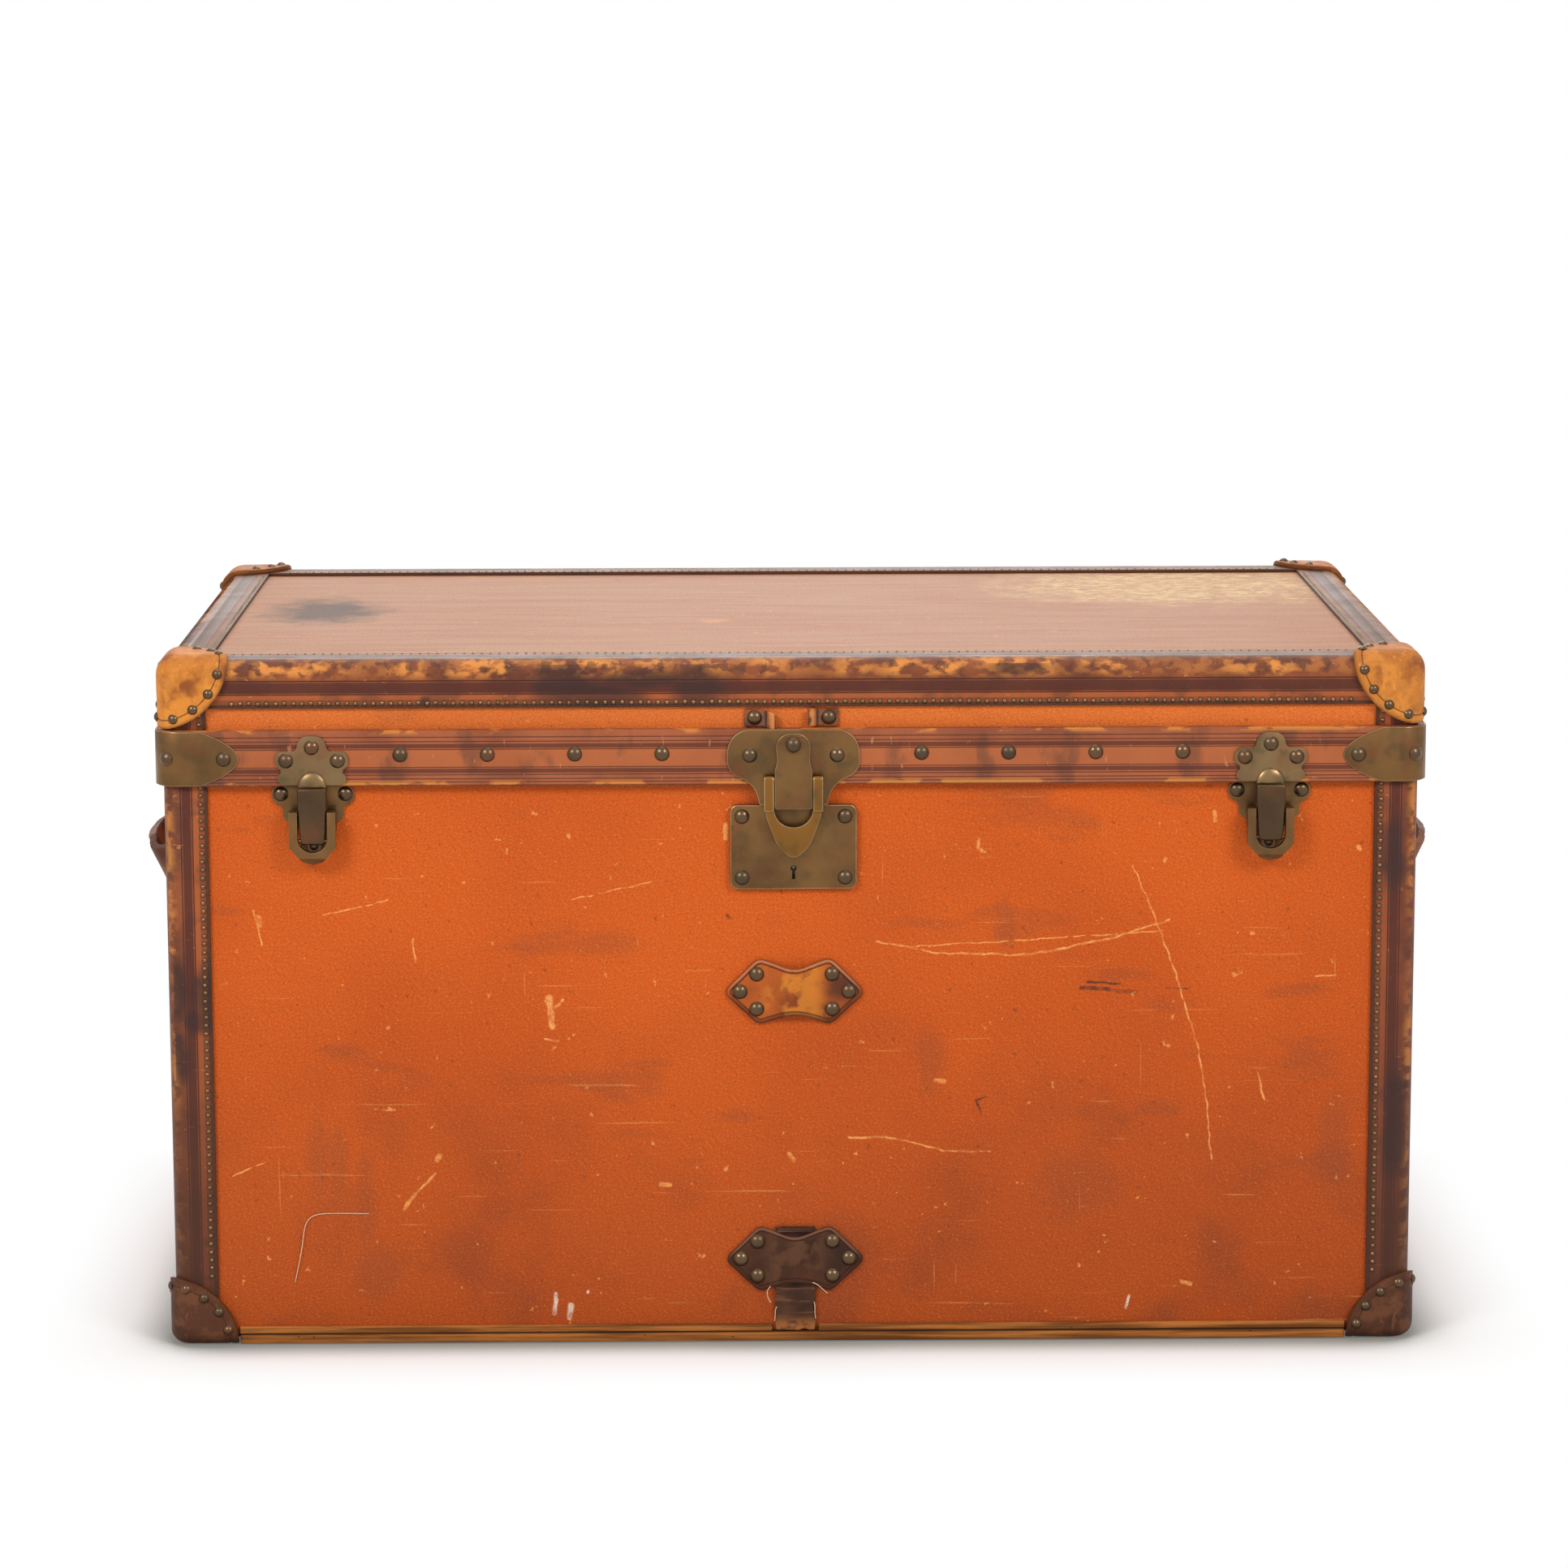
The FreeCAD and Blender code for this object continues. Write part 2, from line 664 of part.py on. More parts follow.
def leather_edging():
    case_shell = cut("case_leather_shell", case_leather, case_canvas)
    lid_shell = cut("lid_leather_shell", lid_leather, lid_canvas)
    post_x = ("leather_x - corner_trim_width", ALL_X[1])
    post_y = ("leather_y - corner_trim_width", ALL_Y[1])
    post = box("post_region", post_x, post_y, (CASE_Z[0], "trim_top"))
    four_corners("corner_trims", common("corner_trim_one", [case_shell, post]))
    post = box("lid_post_region", post_x, post_y, ("band_top", "edge_trim_low"))
    four_corners("lid_corner_trims", common("lid_corner_trim_one", [lid_shell, post]))

    low_z = (CASE_Z[0], "leather_low + edge_trim_width")
    between = ("-leather_y + corner_trim_width", "leather_y - corner_trim_width")
    sides = [((ALL_X[0], "-leather_x + edge_trim_width"), between),
             (("leather_x - edge_trim_width", ALL_X[1]), between),
             (("-leather_x + corner_trim_width", "leather_x - corner_trim_width"),
              ("leather_y - edge_trim_width", ALL_Y[1]))]
    trims = [common(f"base_trim_{i}", [case_shell, box(f"base_trim_region_{i}", xs, ys, low_z)])
             for i, (xs, ys) in enumerate(sides)]
    piece("base_trims", group("base_trim_group", trims))

    high_z = ("edge_trim_low", LID_Z[1])
    between = ("-leather_y + edge_trim_width", "leather_y - edge_trim_width")
    sides = [(ALL_X, (ALL_Y[0], between[0])), (ALL_X, (between[1], ALL_Y[1])),
             ((ALL_X[0], "-leather_x + edge_trim_width"), between),
             (("leather_x - edge_trim_width", ALL_X[1]), between)]
    trims = [common(f"edge_trim_{i}", [lid_shell, box(f"edge_trim_region_{i}", xs, ys, high_z)])
             for i, (xs, ys) in enumerate(sides)]
    piece("lid_edge_trims", group("lid_edge_trim_group", trims))


def front_strips():
    across = ("-cap_x + base_cap_reach + running_gap", "cap_x - base_cap_reach - running_gap")
    deep = ("-leather_y", "-canvas_y + canvas_edge")
    low = box("low_strip_block", across, deep, ("leather_low", "strip_high_low"))
    piece("front_strip_low", cut("low_strip", low, case_canvas))
    high = box("high_strip_block", across, deep, ("strip_high_low", "strip_high_top"))
    high = cut("high_strip", high, case_canvas)
    notch = box("strip_notch", ("strap_centre - strap_width / 2 - notch_play",
                                "strap_centre + strap_width / 2 + notch_play"),
                ("-leather_y - overrun", "-canvas_y"),
                ("strip_high_low - joint_gap", "strip_high_top + overrun"))
    piece("front_strip_high", cut("high_strip_notched", high, notch))


def corner_caps():
    top_block = rounded_block("lid_cap_block", "cap_x", "cap_y", "joint_height", "cap_top",
                              "cap_corner", "cap_edge", "cap_top")
    base_block = rounded_block("case_cap_block", "cap_x", "cap_y", "0", "joint_height",
                               "cap_corner", "edge_radius", "0")
    for label, block, inside, reach, height in (
            ("top_corner_caps", top_block, lid_leather, "top_cap_reach", "cap_top"),
            ("base_corner_caps", base_block, case_leather, "base_cap_reach", "0")):
        ball = doc.addObject("Part::Sphere", label + "_ball")
        bind(ball, "Radius", reach)
        put(ball, "cap_x", "cap_y", height)
        shell = cut(label + "_shell", block, inside)
        four_corners(label, common(label + "_one", [shell, ball]))


def cap_surface(across, drop, corner, edge):
    """Point and outward direction on the front of a right-hand cap, from its two outer edges."""
    turn = math.asin(max(0.0, (corner - across) / corner))
    tip = math.asin(max(0.0, (edge - drop) / edge))
    normal = Vector(math.sin(turn) * math.cos(tip), -math.cos(turn) * math.cos(tip), math.sin(tip))
    return normal.normalize(), corner * (1 - math.cos(turn)) + edge * (1 - math.cos(tip))


def cap_rivet_set(reach, corner, edge, level, upward):
    """Rivets round the rim of one front right cap: on its front, its side and its flat face."""
    ring = number(reach) - number("cap_rivet_inset")
    cap_x, cap_y = number("cap_x"), number("cap_y")
    corner, edge = number(corner), number(edge)
    way = 1 if upward else -1
    places = []
    for step in range(4):
        angle = math.radians(number("cap_rivet_start") + step * number("cap_rivet_step"))
        across, drop = ring * math.cos(angle), ring * math.sin(angle)
        normal, sink = cap_surface(across, drop, corner, edge)
        height = number(level) - way * drop
        front = Vector(cap_x - across, -cap_y + sink, height)
        places.append((front, Vector(normal.x, normal.y, way * normal.z)))
        side = Vector(cap_x - sink, -cap_y + across, height)
        places.append((side, Vector(-normal.y, -normal.x, way * normal.z)))
        if upward and across > edge:
            top = Vector(cap_x - across, -cap_y + max(drop, edge), number(level))
            places.append((top, UP))
    return places


def round_the_corners(places):
    """Copies front right rivets to the other three corners."""
    rear = [(Vector(at.x, -at.y, at.z), Vector(way.x, -way.y, way.z)) for at, way in places]
    return on_both_sides(places + rear)


def cap_rivets():
    size = (number("cap_rivet_radius"), number("cap_rivet_height"))
    top = cap_rivet_set("top_cap_reach", "cap_corner", "cap_edge", "cap_top", True)
    heads = [dome(at, way, *size) for at, way in round_the_corners(top)]
    piece("lid_cap_rivets", solid("lid_cap_rivets", Part.makeCompound(heads)))
    low = cap_rivet_set("base_cap_reach", "cap_corner", "edge_radius", "0", False)
    heads = [dome(at, way, *size) for at, way in round_the_corners(low)]
    piece("case_cap_rivets", solid("case_cap_rivets", Part.makeCompound(heads)))


def closing_band():
    outer = rounded_block("band_outer", "band_x", "band_y", "band_low", "band_top", "band_corner")
    inner = rounded_block("band_inner", "band_in_x", "band_in_y", "band_low - overrun",
                          "band_top + overrun", "band_in_corner")
    ring = cut("band_ring", outer, inner)
    all_x = ("-band_x - overrun", "band_x + overrun")
    band_z = ("band_low - overrun", "band_top + overrun")
    between = ("-band_y + band_corner", "band_y - band_corner")
    spans = ((all_x, ("-band_y - overrun", between[0])),
             (all_x, (between[1], "band_y + overrun")),
             ((all_x[0], "0"), between), (("0", all_x[1]), between))
    strips = [common(f"band_strip_{i}", [ring, box(f"band_region_{i}", xs, ys, band_z)])
              for i, (xs, ys) in enumerate(spans)]
    piece("closing_band", group("closing_band_group", strips))

    proud = rounded_block("band_plate_outer", "band_x + band_plate_thick",
                          "band_y + band_plate_thick", "band_low", "band_top",
                          "band_corner + band_plate_thick")
    shell = cut("band_plate_shell", proud, outer)
    prisms = []
    for normal, edge in (("Y", "band_x"), ("X", "band_y")):
        sign = "" if normal == "Y" else "-"
        outline = [(f"{sign}({edge} + overrun)", "band_low + band_plate_inset", None),
                   (f"{sign}({edge} + overrun)", "band_top - band_plate_inset", None),
                   (f"{sign}({edge} - band_plate_reach + band_plate_nose)",
                    "band_top - band_plate_inset", "band_plate_bow"),
                   (f"{sign}({edge} - band_plate_reach)", "(band_low + band_top) / 2",
                    "band_plate_bow"),
                   (f"{sign}({edge} - band_plate_reach + band_plate_nose)",
                    "band_low + band_plate_inset", None)]
        if normal == "X":
            outline = [(a, b, None) for a, b, bow in outline[::-1]]
            outline[0] = (outline[0][0], outline[0][1], "band_plate_bow")
            outline[1] = (outline[1][0], outline[1][1], "band_plate_bow")
            prisms.append(slab("band_plate_side", "X", outline, "band_corner + overrun",
                               x="band_x - band_corner"))
        else:
            prisms.append(slab("band_plate_front", "Y", outline, "band_corner + overrun",
                               y="-band_y + band_corner"))
    region = fuse("band_plate_region", prisms)
    plate = common("band_plate_blank", [shell, region])
    middle = "(band_low + band_top) / 2"
    thick = number("band_plate_thick")
    out = number("band_x - band_plate_rivet_out")
    first = number("band_x - band_plate_rivet_in")
    radius = number("band_corner + band_plate_thick")
    height = number(middle)
    face_y = number("band_y") + thick
    turn = math.asin(max(0.0, (radius - number("band_plate_rivet_out")) / radius))
    lean = Vector(math.sin(turn), -math.cos(turn), 0)
    centre = Vector(number("band_x - band_corner"), -number("band_y - band_corner"), height)
    places = [(Vector(first, -face_y, height), FRONT), (centre + lean * radius, lean),
              (Vector(number("band_x") + thick,
                      -number("band_y - band_plate_rivet_in"), height), RIGHT)]
    plate = drilled("band_plate_one", plate, places, thick)
    four_corners("band_corner_plates", plate)
    return round_the_corners(places)


def band_rivet_places():
    first, pitch = number("band_rivet_first"), number("band_rivet_pitch")
    height = number("band_low + band_rivet_rise")
    face_x, face_y = number("band_x"), number("band_y")
    places = []
    for step in range(4):
        for side in (1, -1):
            across = side * (first + step * pitch)
            places.append((Vector(across, -face_y, height), FRONT))
            places.append((Vector(across, face_y, height), BACK))
    for step in range(2):
        for side in (1, -1):
            along = side * (pitch / 2 + step * pitch)
            places.append((Vector(face_x, along, height), RIGHT))
            places.append((Vector(-face_x, along, height), LEFT))
    clear = number("hinge_half + rivet_radius")
    middles = [number("hinge_spacing"), -number("hinge_spacing")]
    return [(at, way) for at, way in places
            if way != BACK or all(abs(at.x - middle) > clear for middle in middles)]


def hasp():
    lobe_x = "hasp_plate_half - hasp_plate_lobe"
    lobe_low = "band_top - 2 * hasp_plate_lobe"
    outline = [("-hasp_plate_neck", "hasp_plate_low", None),
               ("hasp_plate_neck", "hasp_plate_low", None),
               ("hasp_plate_neck", f"{lobe_low} - hasp_plate_lobe / 2", None),
               (lobe_x, lobe_low, "hasp_plate_lobe + pin_play"), (lobe_x, "band_top", None),
               (f"-({lobe_x})", "band_top", "hasp_plate_lobe + pin_play"),
               (f"-({lobe_x})", lobe_low, None),
               ("-hasp_plate_neck", f"{lobe_low} - hasp_plate_lobe / 2", None)]
    plate = slab("hasp_plate_body", "Y", outline, "plate_thick", x="lock_centre", y="-band_y")
    level = "band_top - hasp_plate_lobe"
    places = front_places([("lock_centre - hasp_rivet_half", level),
                           ("lock_centre + hasp_rivet_half", level)], "plate_y")
    piece("hasp_plate", drilled("hasp_plate_bored", plate, places, number("plate_thick")))

    bar = slab("hasp_cover", "Y", rectangle("strap_cover_width / 2", "strap_cover_low",
                                            "strap_cover_top"),
               "strap_cover_thick", x="lock_centre", y="-plate_y")
    half_way = -number("strap_cover_thick") / 2
    round_edges(bar, "hasp_cover_crown", "strap_cover_thick * cover_crown_share",
                lambda edge: runs_along(UP)(edge) and edge.Vertexes[0].Y < half_way)
    pin_x = rod("hasp_pin_bore", "X", "hasp_pin_radius", "strap_cover_width + overrun",
                "lock_centre", "-hasp_y", "hasp_top - hasp_pivot_drop")
    piece("hasp_cover_strap", cut("hasp_cover_bored", bar, pin_x))
    piece("hasp_pin", rod("hasp_pin_rod", "X", "hasp_pin_radius", "2 * hasp_half", "lock_centre",
                          "-hasp_y", "hasp_top - hasp_pivot_drop"))
    cover_places = front_places([("lock_centre", "cover_rivet_height")],
                                "plate_y + strap_cover_thick")

    outline = [("-hasp_slot_half", "hasp_top", None), ("-hasp_half", "hasp_top", None),
               ("-hasp_shoulder_half", "hasp_shoulder_height", "hasp_side_bow"),
               ("0", "hasp_tip", "hasp_side_bow"),
               ("hasp_shoulder_half", "hasp_shoulder_height", None), ("hasp_half", "hasp_top", None),
               ("hasp_slot_half", "hasp_top", None),
               ("hasp_slot_half", "hasp_slot_low + hasp_slot_half", "-(hasp_slot_half + pin_play)"),
               ("-hasp_slot_half", "hasp_slot_low + hasp_slot_half", None)]
    shackle = slab("hasp_body", "Y", outline, "hasp_thick", x="lock_centre", y="-plate_y - running_gap")
    top = number("hasp_top") - number("pin_play")
    round_edges(shackle, "hasp_arm_ends", "hasp_pivot_drop - pin_play",
                lambda edge: runs_along(RIGHT)(edge) and edge.Vertexes[0].Z > top)
    eye = rod("hasp_eye", "X", "hasp_pin_radius + pin_play", "2 * hasp_half + overrun",
              "lock_centre", "-hasp_y", "hasp_top - hasp_pivot_drop")
    piece("hasp", cut("hasp_bored", shackle, eye))
    return places, cover_places


def lock():
    outline = rectangle("lock_width / 2", "lock_low", "lock_top")
    plate = slab("lock_plate_body", "Y", outline, "lock_plate_thick", x="lock_centre", y="-canvas_y")
    round_edges(plate, "lock_plate_corners", "lock_corner", runs_along(Vector(0, 1, 0)))
    half = "lock_width / 2 - lock_rivet_inset"
    pairs = [(f"lock_centre + {side} * ({half})", level) for side in ("1", "-1")
             for level in ("lock_low + lock_rivet_inset", "lock_top - lock_rivet_inset")]
    places = front_places(pairs, "canvas_y + lock_plate_thick")
    drilled_plate = drilled("lock_plate_bored", plate, places, number("lock_plate_thick"))
    eye = rod("keyhole_round", "Y", "keyhole_radius", "2 * (lock_plate_thick + overrun)",
              "lock_centre", "-canvas_y", "keyhole_height")
    slot = box("keyhole_slot_block", ("lock_centre - keyhole_slot / 2",
                                      "lock_centre + keyhole_slot / 2"),
               ("-canvas_y - lock_plate_thick - overrun", "-canvas_y + overrun"),
               ("keyhole_height - keyhole_drop", "keyhole_height"))
    opened = cut("lock_plate_open", drilled_plate, fuse("keyhole", [eye, slot]))
    nose = box("lock_nose", ("lock_centre - nose_half", "lock_centre + nose_half"),
               ("-canvas_y - lock_plate_thick - nose_thick", "-canvas_y - lock_plate_thick"),
               ("lock_top - nose_height", "lock_top - running_gap"))
    piece("lock_plate", fuse("lock_plate_nosed", [opened, nose]))

    deep = ("-canvas_y", "-cavity_y - running_gap")
    outer = box("lock_case_block", ("lock_centre - lock_case_half", "lock_centre + lock_case_half"),
                deep, ("lock_case_low", "lock_case_low + lock_case_height"))
    inner = box("lock_case_hollow", ("lock_centre - lock_case_half + lock_wall",
                                     "lock_centre + lock_case_half - lock_wall"),
                ("-canvas_y - overrun", "-cavity_y - running_gap - lock_wall"),
                ("lock_case_low + lock_wall", "lock_case_low + lock_case_height - lock_wall"))
    post = rod("lock_post", "Y", "lock_post_radius", "canvas_y - cavity_y - running_gap - lock_wall",
               "lock_centre", "-(canvas_y + cavity_y + running_gap + lock_wall) / 2",
               "keyhole_height")
    shelf = box("lock_shelf", ("lock_centre - lock_case_half", "lock_centre + lock_case_half"),
                ("-canvas_y + running_gap", "-cavity_y - running_gap - lock_wall / 2"),
                ("bolt_low - running_gap - lock_wall", "bolt_low - running_gap"))
    hollow = cut("lock_case_shell", outer, inner)
    piece("lock_case", fuse("lock_case_whole", [hollow, post, shelf]))
    piece("lock_bolt", box("lock_bolt_bar", ("lock_centre - bolt_length / 2 - bolt_travel / 2",
                                             "lock_centre + bolt_length / 2 - bolt_travel / 2"),
                           ("-cavity_y - running_gap * 2 - lock_wall - bolt_thick",
                            "-cavity_y - running_gap * 2 - lock_wall"),
                           ("bolt_low", "bolt_low + bolt_height")))
    return places


def around_clasp(half):
    return (f"clasp_spacing - {half}", f"clasp_spacing + {half}")


def catches():
    """The lid halves of the two clasps: trefoil plates with a half-round bead."""
    level = "catch_height"
    low_level = f"{level} - catch_low_drop"
    deep = ("-plate_y", "-band_y")
    shapes = [disc("catch_top", "catch_lobe", "plate_thick", "clasp_spacing", "band_y",
                   f"{level} + catch_top_rise"),
              box("catch_middle", around_clasp("catch_body_half"), deep,
                  ("band_low + catch_lift", f"{level} + catch_side_lobe")),
              box("catch_bar", around_clasp("catch_low_half"), deep,
                  (f"{low_level} - catch_low_lobe / 2", f"{low_level} + catch_low_lobe / 2"))]
    for name, way in (("inner", "-"), ("outer", "+")):
        shapes.append(disc("catch_side_" + name, "catch_side_lobe", "plate_thick",
                           f"clasp_spacing {way} catch_side_half", "band_y", level))
        shapes.append(disc("catch_low_" + name, "catch_low_lobe", "plate_thick",
                           f"clasp_spacing {way} catch_low_half", "band_y", low_level))
    blank = fuse("catch_blank", shapes)
    pairs = [("clasp_spacing", f"{level} + catch_top_rise"),
             ("clasp_spacing - catch_side_half", level), ("clasp_spacing + catch_side_half", level)]
    places = front_places(pairs, "plate_y")
    plate = drilled("catch_bored", blank, places, number("plate_thick"))
    bead = rod("catch_bead_rod", "X", "catch_bead_radius", "catch_bead_length", "clasp_spacing",
               "-plate_y - catch_bead_proud + catch_bead_radius", "catch_bead_height")
    front = box("catch_bead_zone", around_clasp("catch_bead_length"),
                ("-plate_y - catch_bead_radius", "-plate_y"), ("band_low - overrun", "band_top"))
    whole = fuse("catch_whole", [plate, common("catch_bead", [bead, front])])
    left_and_right("clasp_catches", whole)
    return on_both_sides(places)


def clasp_base():
    """The plate on the case that carries a lever, with its pivot lug."""
    deep = ("-canvas_y - plate_thick", "-canvas_y")
    ears = [disc("base_ear_" + name, "clasp_ear_lobe", "plate_thick",
                 f"clasp_spacing {way} clasp_ear_half", "canvas_y", "clasp_ear_height")
            for name, way in (("inner", "-"), ("outer", "+"))]
    middle = box("base_middle", around_clasp("clasp_plate_half"), deep,
                 ("clasp_plate_low", "clasp_ear_height + clasp_ear_lobe - running_gap"))
    tongue = box("base_tongue", around_clasp("clasp_tongue_half"), deep,
                 ("clasp_foot_height", "clasp_ear_height"))
    foot = disc("base_foot", "clasp_foot_radius", "plate_thick", "clasp_spacing", "canvas_y",
                "clasp_foot_height")
    lug = box("base_lug", around_clasp("clasp_lug_half"),
              ("-canvas_y - clasp_lug_depth", "-canvas_y - plate_thick / 2"),
              ("lever_pivot_height - clasp_lug_half_height",
               "lever_pivot_height + clasp_lug_half_height"))
    blank = fuse("clasp_base_blank", ears + [middle, tongue, foot, lug])
    pairs = [("clasp_spacing - clasp_ear_half", "clasp_ear_height"),
             ("clasp_spacing + clasp_ear_half", "clasp_ear_height"),
             ("clasp_spacing", "clasp_foot_height")]
    places = front_places(pairs, "canvas_y + plate_thick")
    plate = drilled("clasp_base_bored", blank, places, number("plate_thick"))
    eye = rod("base_lug_eye", "X", "lever_pin_radius", "2 * lever_half + overrun", "clasp_spacing",
              "-lever_y", "lever_pivot_height")
    left_and_right("clasp_bases", cut("clasp_base_whole", plate, eye))
    left_and_right("clasp_pivot_pins", rod("clasp_pivot_pin", "X", "lever_pin_radius",
                                           "2 * lever_half", "clasp_spacing", "-lever_y",
                                           "lever_pivot_height"))
    return on_both_sides(places)


def clasp_levers():
    slot_round = "lever_slot_half + pin_play"
    outline = [("-lever_slot_half", "lever_top", None), ("-lever_half", "lever_top", None),
               ("-lever_half", "lever_shoulder", None), ("-lever_flat_half", "lever_low", None),
               ("0", "lever_tip", None), ("lever_flat_half", "lever_low", None),
               ("lever_half", "lever_shoulder", None), ("lever_half", "lever_top", None),
               ("lever_slot_half", "lever_top", None),
               ("lever_slot_half", "lever_slot_low + lever_slot_half", f"-({slot_round})"),
               ("-lever_slot_half", "lever_slot_low + lever_slot_half", None)]
    for side, sign in (("right", ""), ("left", "-")):
        centre = f"{sign}clasp_spacing"
        lever = slab(f"lever_{side}_body", "Y", outline, "lever_thick", x=centre,
                     y="-lever_out + lever_thick")
        foot = box(f"lever_{side}_relief", (f"{centre} - lever_half - overrun",
                                            f"{centre} + lever_half + overrun"),
                   ("-lever_out + lever_foot_thick", "-canvas_y + overrun"),
                   ("lever_tip - overrun", "lever_foot_top"))
        eye = rod(f"lever_{side}_eye", "X", "lever_pin_radius + pin_play",
                  "2 * lever_half + overrun", centre, "-lever_y", "lever_pivot_height")
        seat = rod(f"lever_{side}_seat", "X", "finger_pin_radius", "2 * lever_half + overrun",
                   centre, "-finger_pin_y", "finger_pivot_height")
        relieved = cut(f"lever_{side}_cut", lever, fuse(f"lever_{side}_cutters", [foot, eye, seat]))
        piece(f"clasp_lever_{side}", relieved)
        piece(f"clasp_finger_pin_{side}", rod(f"finger_pin_{side}", "X", "finger_pin_radius",
                                              "2 * lever_half", centre, "-finger_pin_y",
                                              "finger_pivot_height"))
        blade = slab(f"finger_{side}_blade", "Y",
                     [("-finger_foot_half", "finger_pivot_height", None),
                      ("finger_foot_half", "finger_pivot_height", None),
                      ("finger_half", "finger_top", None), ("-finger_half", "finger_top", None)],
                     "finger_thick", x=centre, y="-finger_out + finger_thick")
        knuckle = rod(f"finger_{side}_knuckle", "X", "finger_knuckle", "2 * finger_foot_half",
                      centre, "-finger_pin_y", "finger_pivot_height")
        bore = rod(f"finger_{side}_bore", "X", "finger_pin_radius + pin_play",
                   "2 * finger_half + overrun", centre, "-finger_pin_y", "finger_pivot_height")
        whole = fuse(f"finger_{side}_blank", [blade, knuckle])
        piece(f"clasp_finger_{side}", cut(f"finger_{side}_bored", whole, bore))


def patch(label, height):
    """A riveted leather patch that arches over a strap: its plan times its outline."""
    half, lobe, tall = "patch_half", "patch_lobe_half", "patch_half_height"
    waist = "(patch_arch_half + patch_arch_run) * patch_waist_share"
    outline = [(f"-{half}", "0", None), (f"-{lobe}", f"-{tall}", None),
               (f"-({waist})", "-patch_waist_half_height", None),
               (waist, "-patch_waist_half_height", None), (lobe, f"-{tall}", None),
               (half, "0", None), (lobe, tall, None), (waist, "patch_waist_half_height", None),
               (f"-({waist})", "patch_waist_half_height", None), (f"-{lobe}", tall, None)]
    face = slab(label + "_face", "Y", outline, "leather_thick + patch_arch_rise + overrun",
                x="patch_centre", y="-canvas_y", z=height)
    foot, arch = "patch_arch_half + patch_arch_run", "patch_arch_half"
    rise = "patch_arch_rise"
    plan = [(f"-{half}", "0", None), (f"-({foot})", "0", None), (f"-{arch}", f"-{rise}", None),
            (arch, f"-{rise}", None), (foot, "0", None), (half, "0", None),
            (half, "-leather_thick", None), (f"{foot} + leather_thick / 2", "-leather_thick", None),
            (f"{arch} + leather_thick / 2", f"-{rise} - leather_thick", None),
            (f"-({arch} + leather_thick / 2)", f"-{rise} - leather_thick", None),
            (f"-({foot} + leather_thick / 2)", "-leather_thick", None),
            (f"-{half}", "-leather_thick", None)]
    section = slab(label + "_plan", "Z", plan, f"2 * {tall}", x="patch_centre", y="-canvas_y",
                   z=f"{height} - {tall}")
    blank = common(label + "_blank", [face, section])
    pairs = []
    for side in ("1", "-1"):
        pairs.append((f"patch_centre + {side} * patch_rivet_reach", height))
        for rise_side in ("1", "-1"):
            pairs.append((f"patch_centre + {side} * patch_rivet_half",
                          f"{height} + {rise_side} * patch_rivet_rise"))
    places = front_places(pairs, "canvas_y + leather_thick")
    piece(label, drilled(label + "_bored", blank, places, number("leather_thick")))
    return places


def strap_and_tabs():
    span = ("strap_centre - strap_width / 2", "strap_centre + strap_width / 2")
    flat = box("strap_flat", span, ("-canvas_y - strap_thick", "-canvas_y"), ("strap_low", "strap_top"))
    roll = rod("strap_roll_rod", "X", "strap_roll", "strap_width", "strap_centre",
               "-canvas_y - strap_roll", "strap_top")
    piece("strap_remnant", fuse("strap_remnant_whole", [flat, roll]))
    tabs = []
    places = []
    for side in ("-1", "1"):
        centre = f"{side} * tab_spacing - {side} * tab_width / 2 + {side} * tab_rivet_inset"
        flat = box(f"tab_flat_{len(tabs)}", (f"{centre} - tab_width / 2", f"{centre} + tab_width / 2"),
                   ("-canvas_y - tab_thick", "-canvas_y"), ("tab_low", "tab_low + tab_height"))
        curl = rod(f"tab_curl_{len(tabs)}", "Z", "tab_curl", "tab_height",
                   f"{centre} - {side} * tab_width / 2 + {side} * tab_curl",
                   "-canvas_y - tab_curl", "tab_low + tab_height / 2")
        blank = fuse(f"tab_blank_{len(tabs)}", [flat, curl])
        at = front_places([(f"{side} * tab_spacing", "tab_low + tab_height / 2")],
                          "canvas_y + tab_thick")
        places += at
        tabs.append(drilled(f"tab_bored_{len(tabs)}", blank, at, number("tab_thick")))
    piece("torn_tabs", group("torn_tab_group", tabs))
    return places


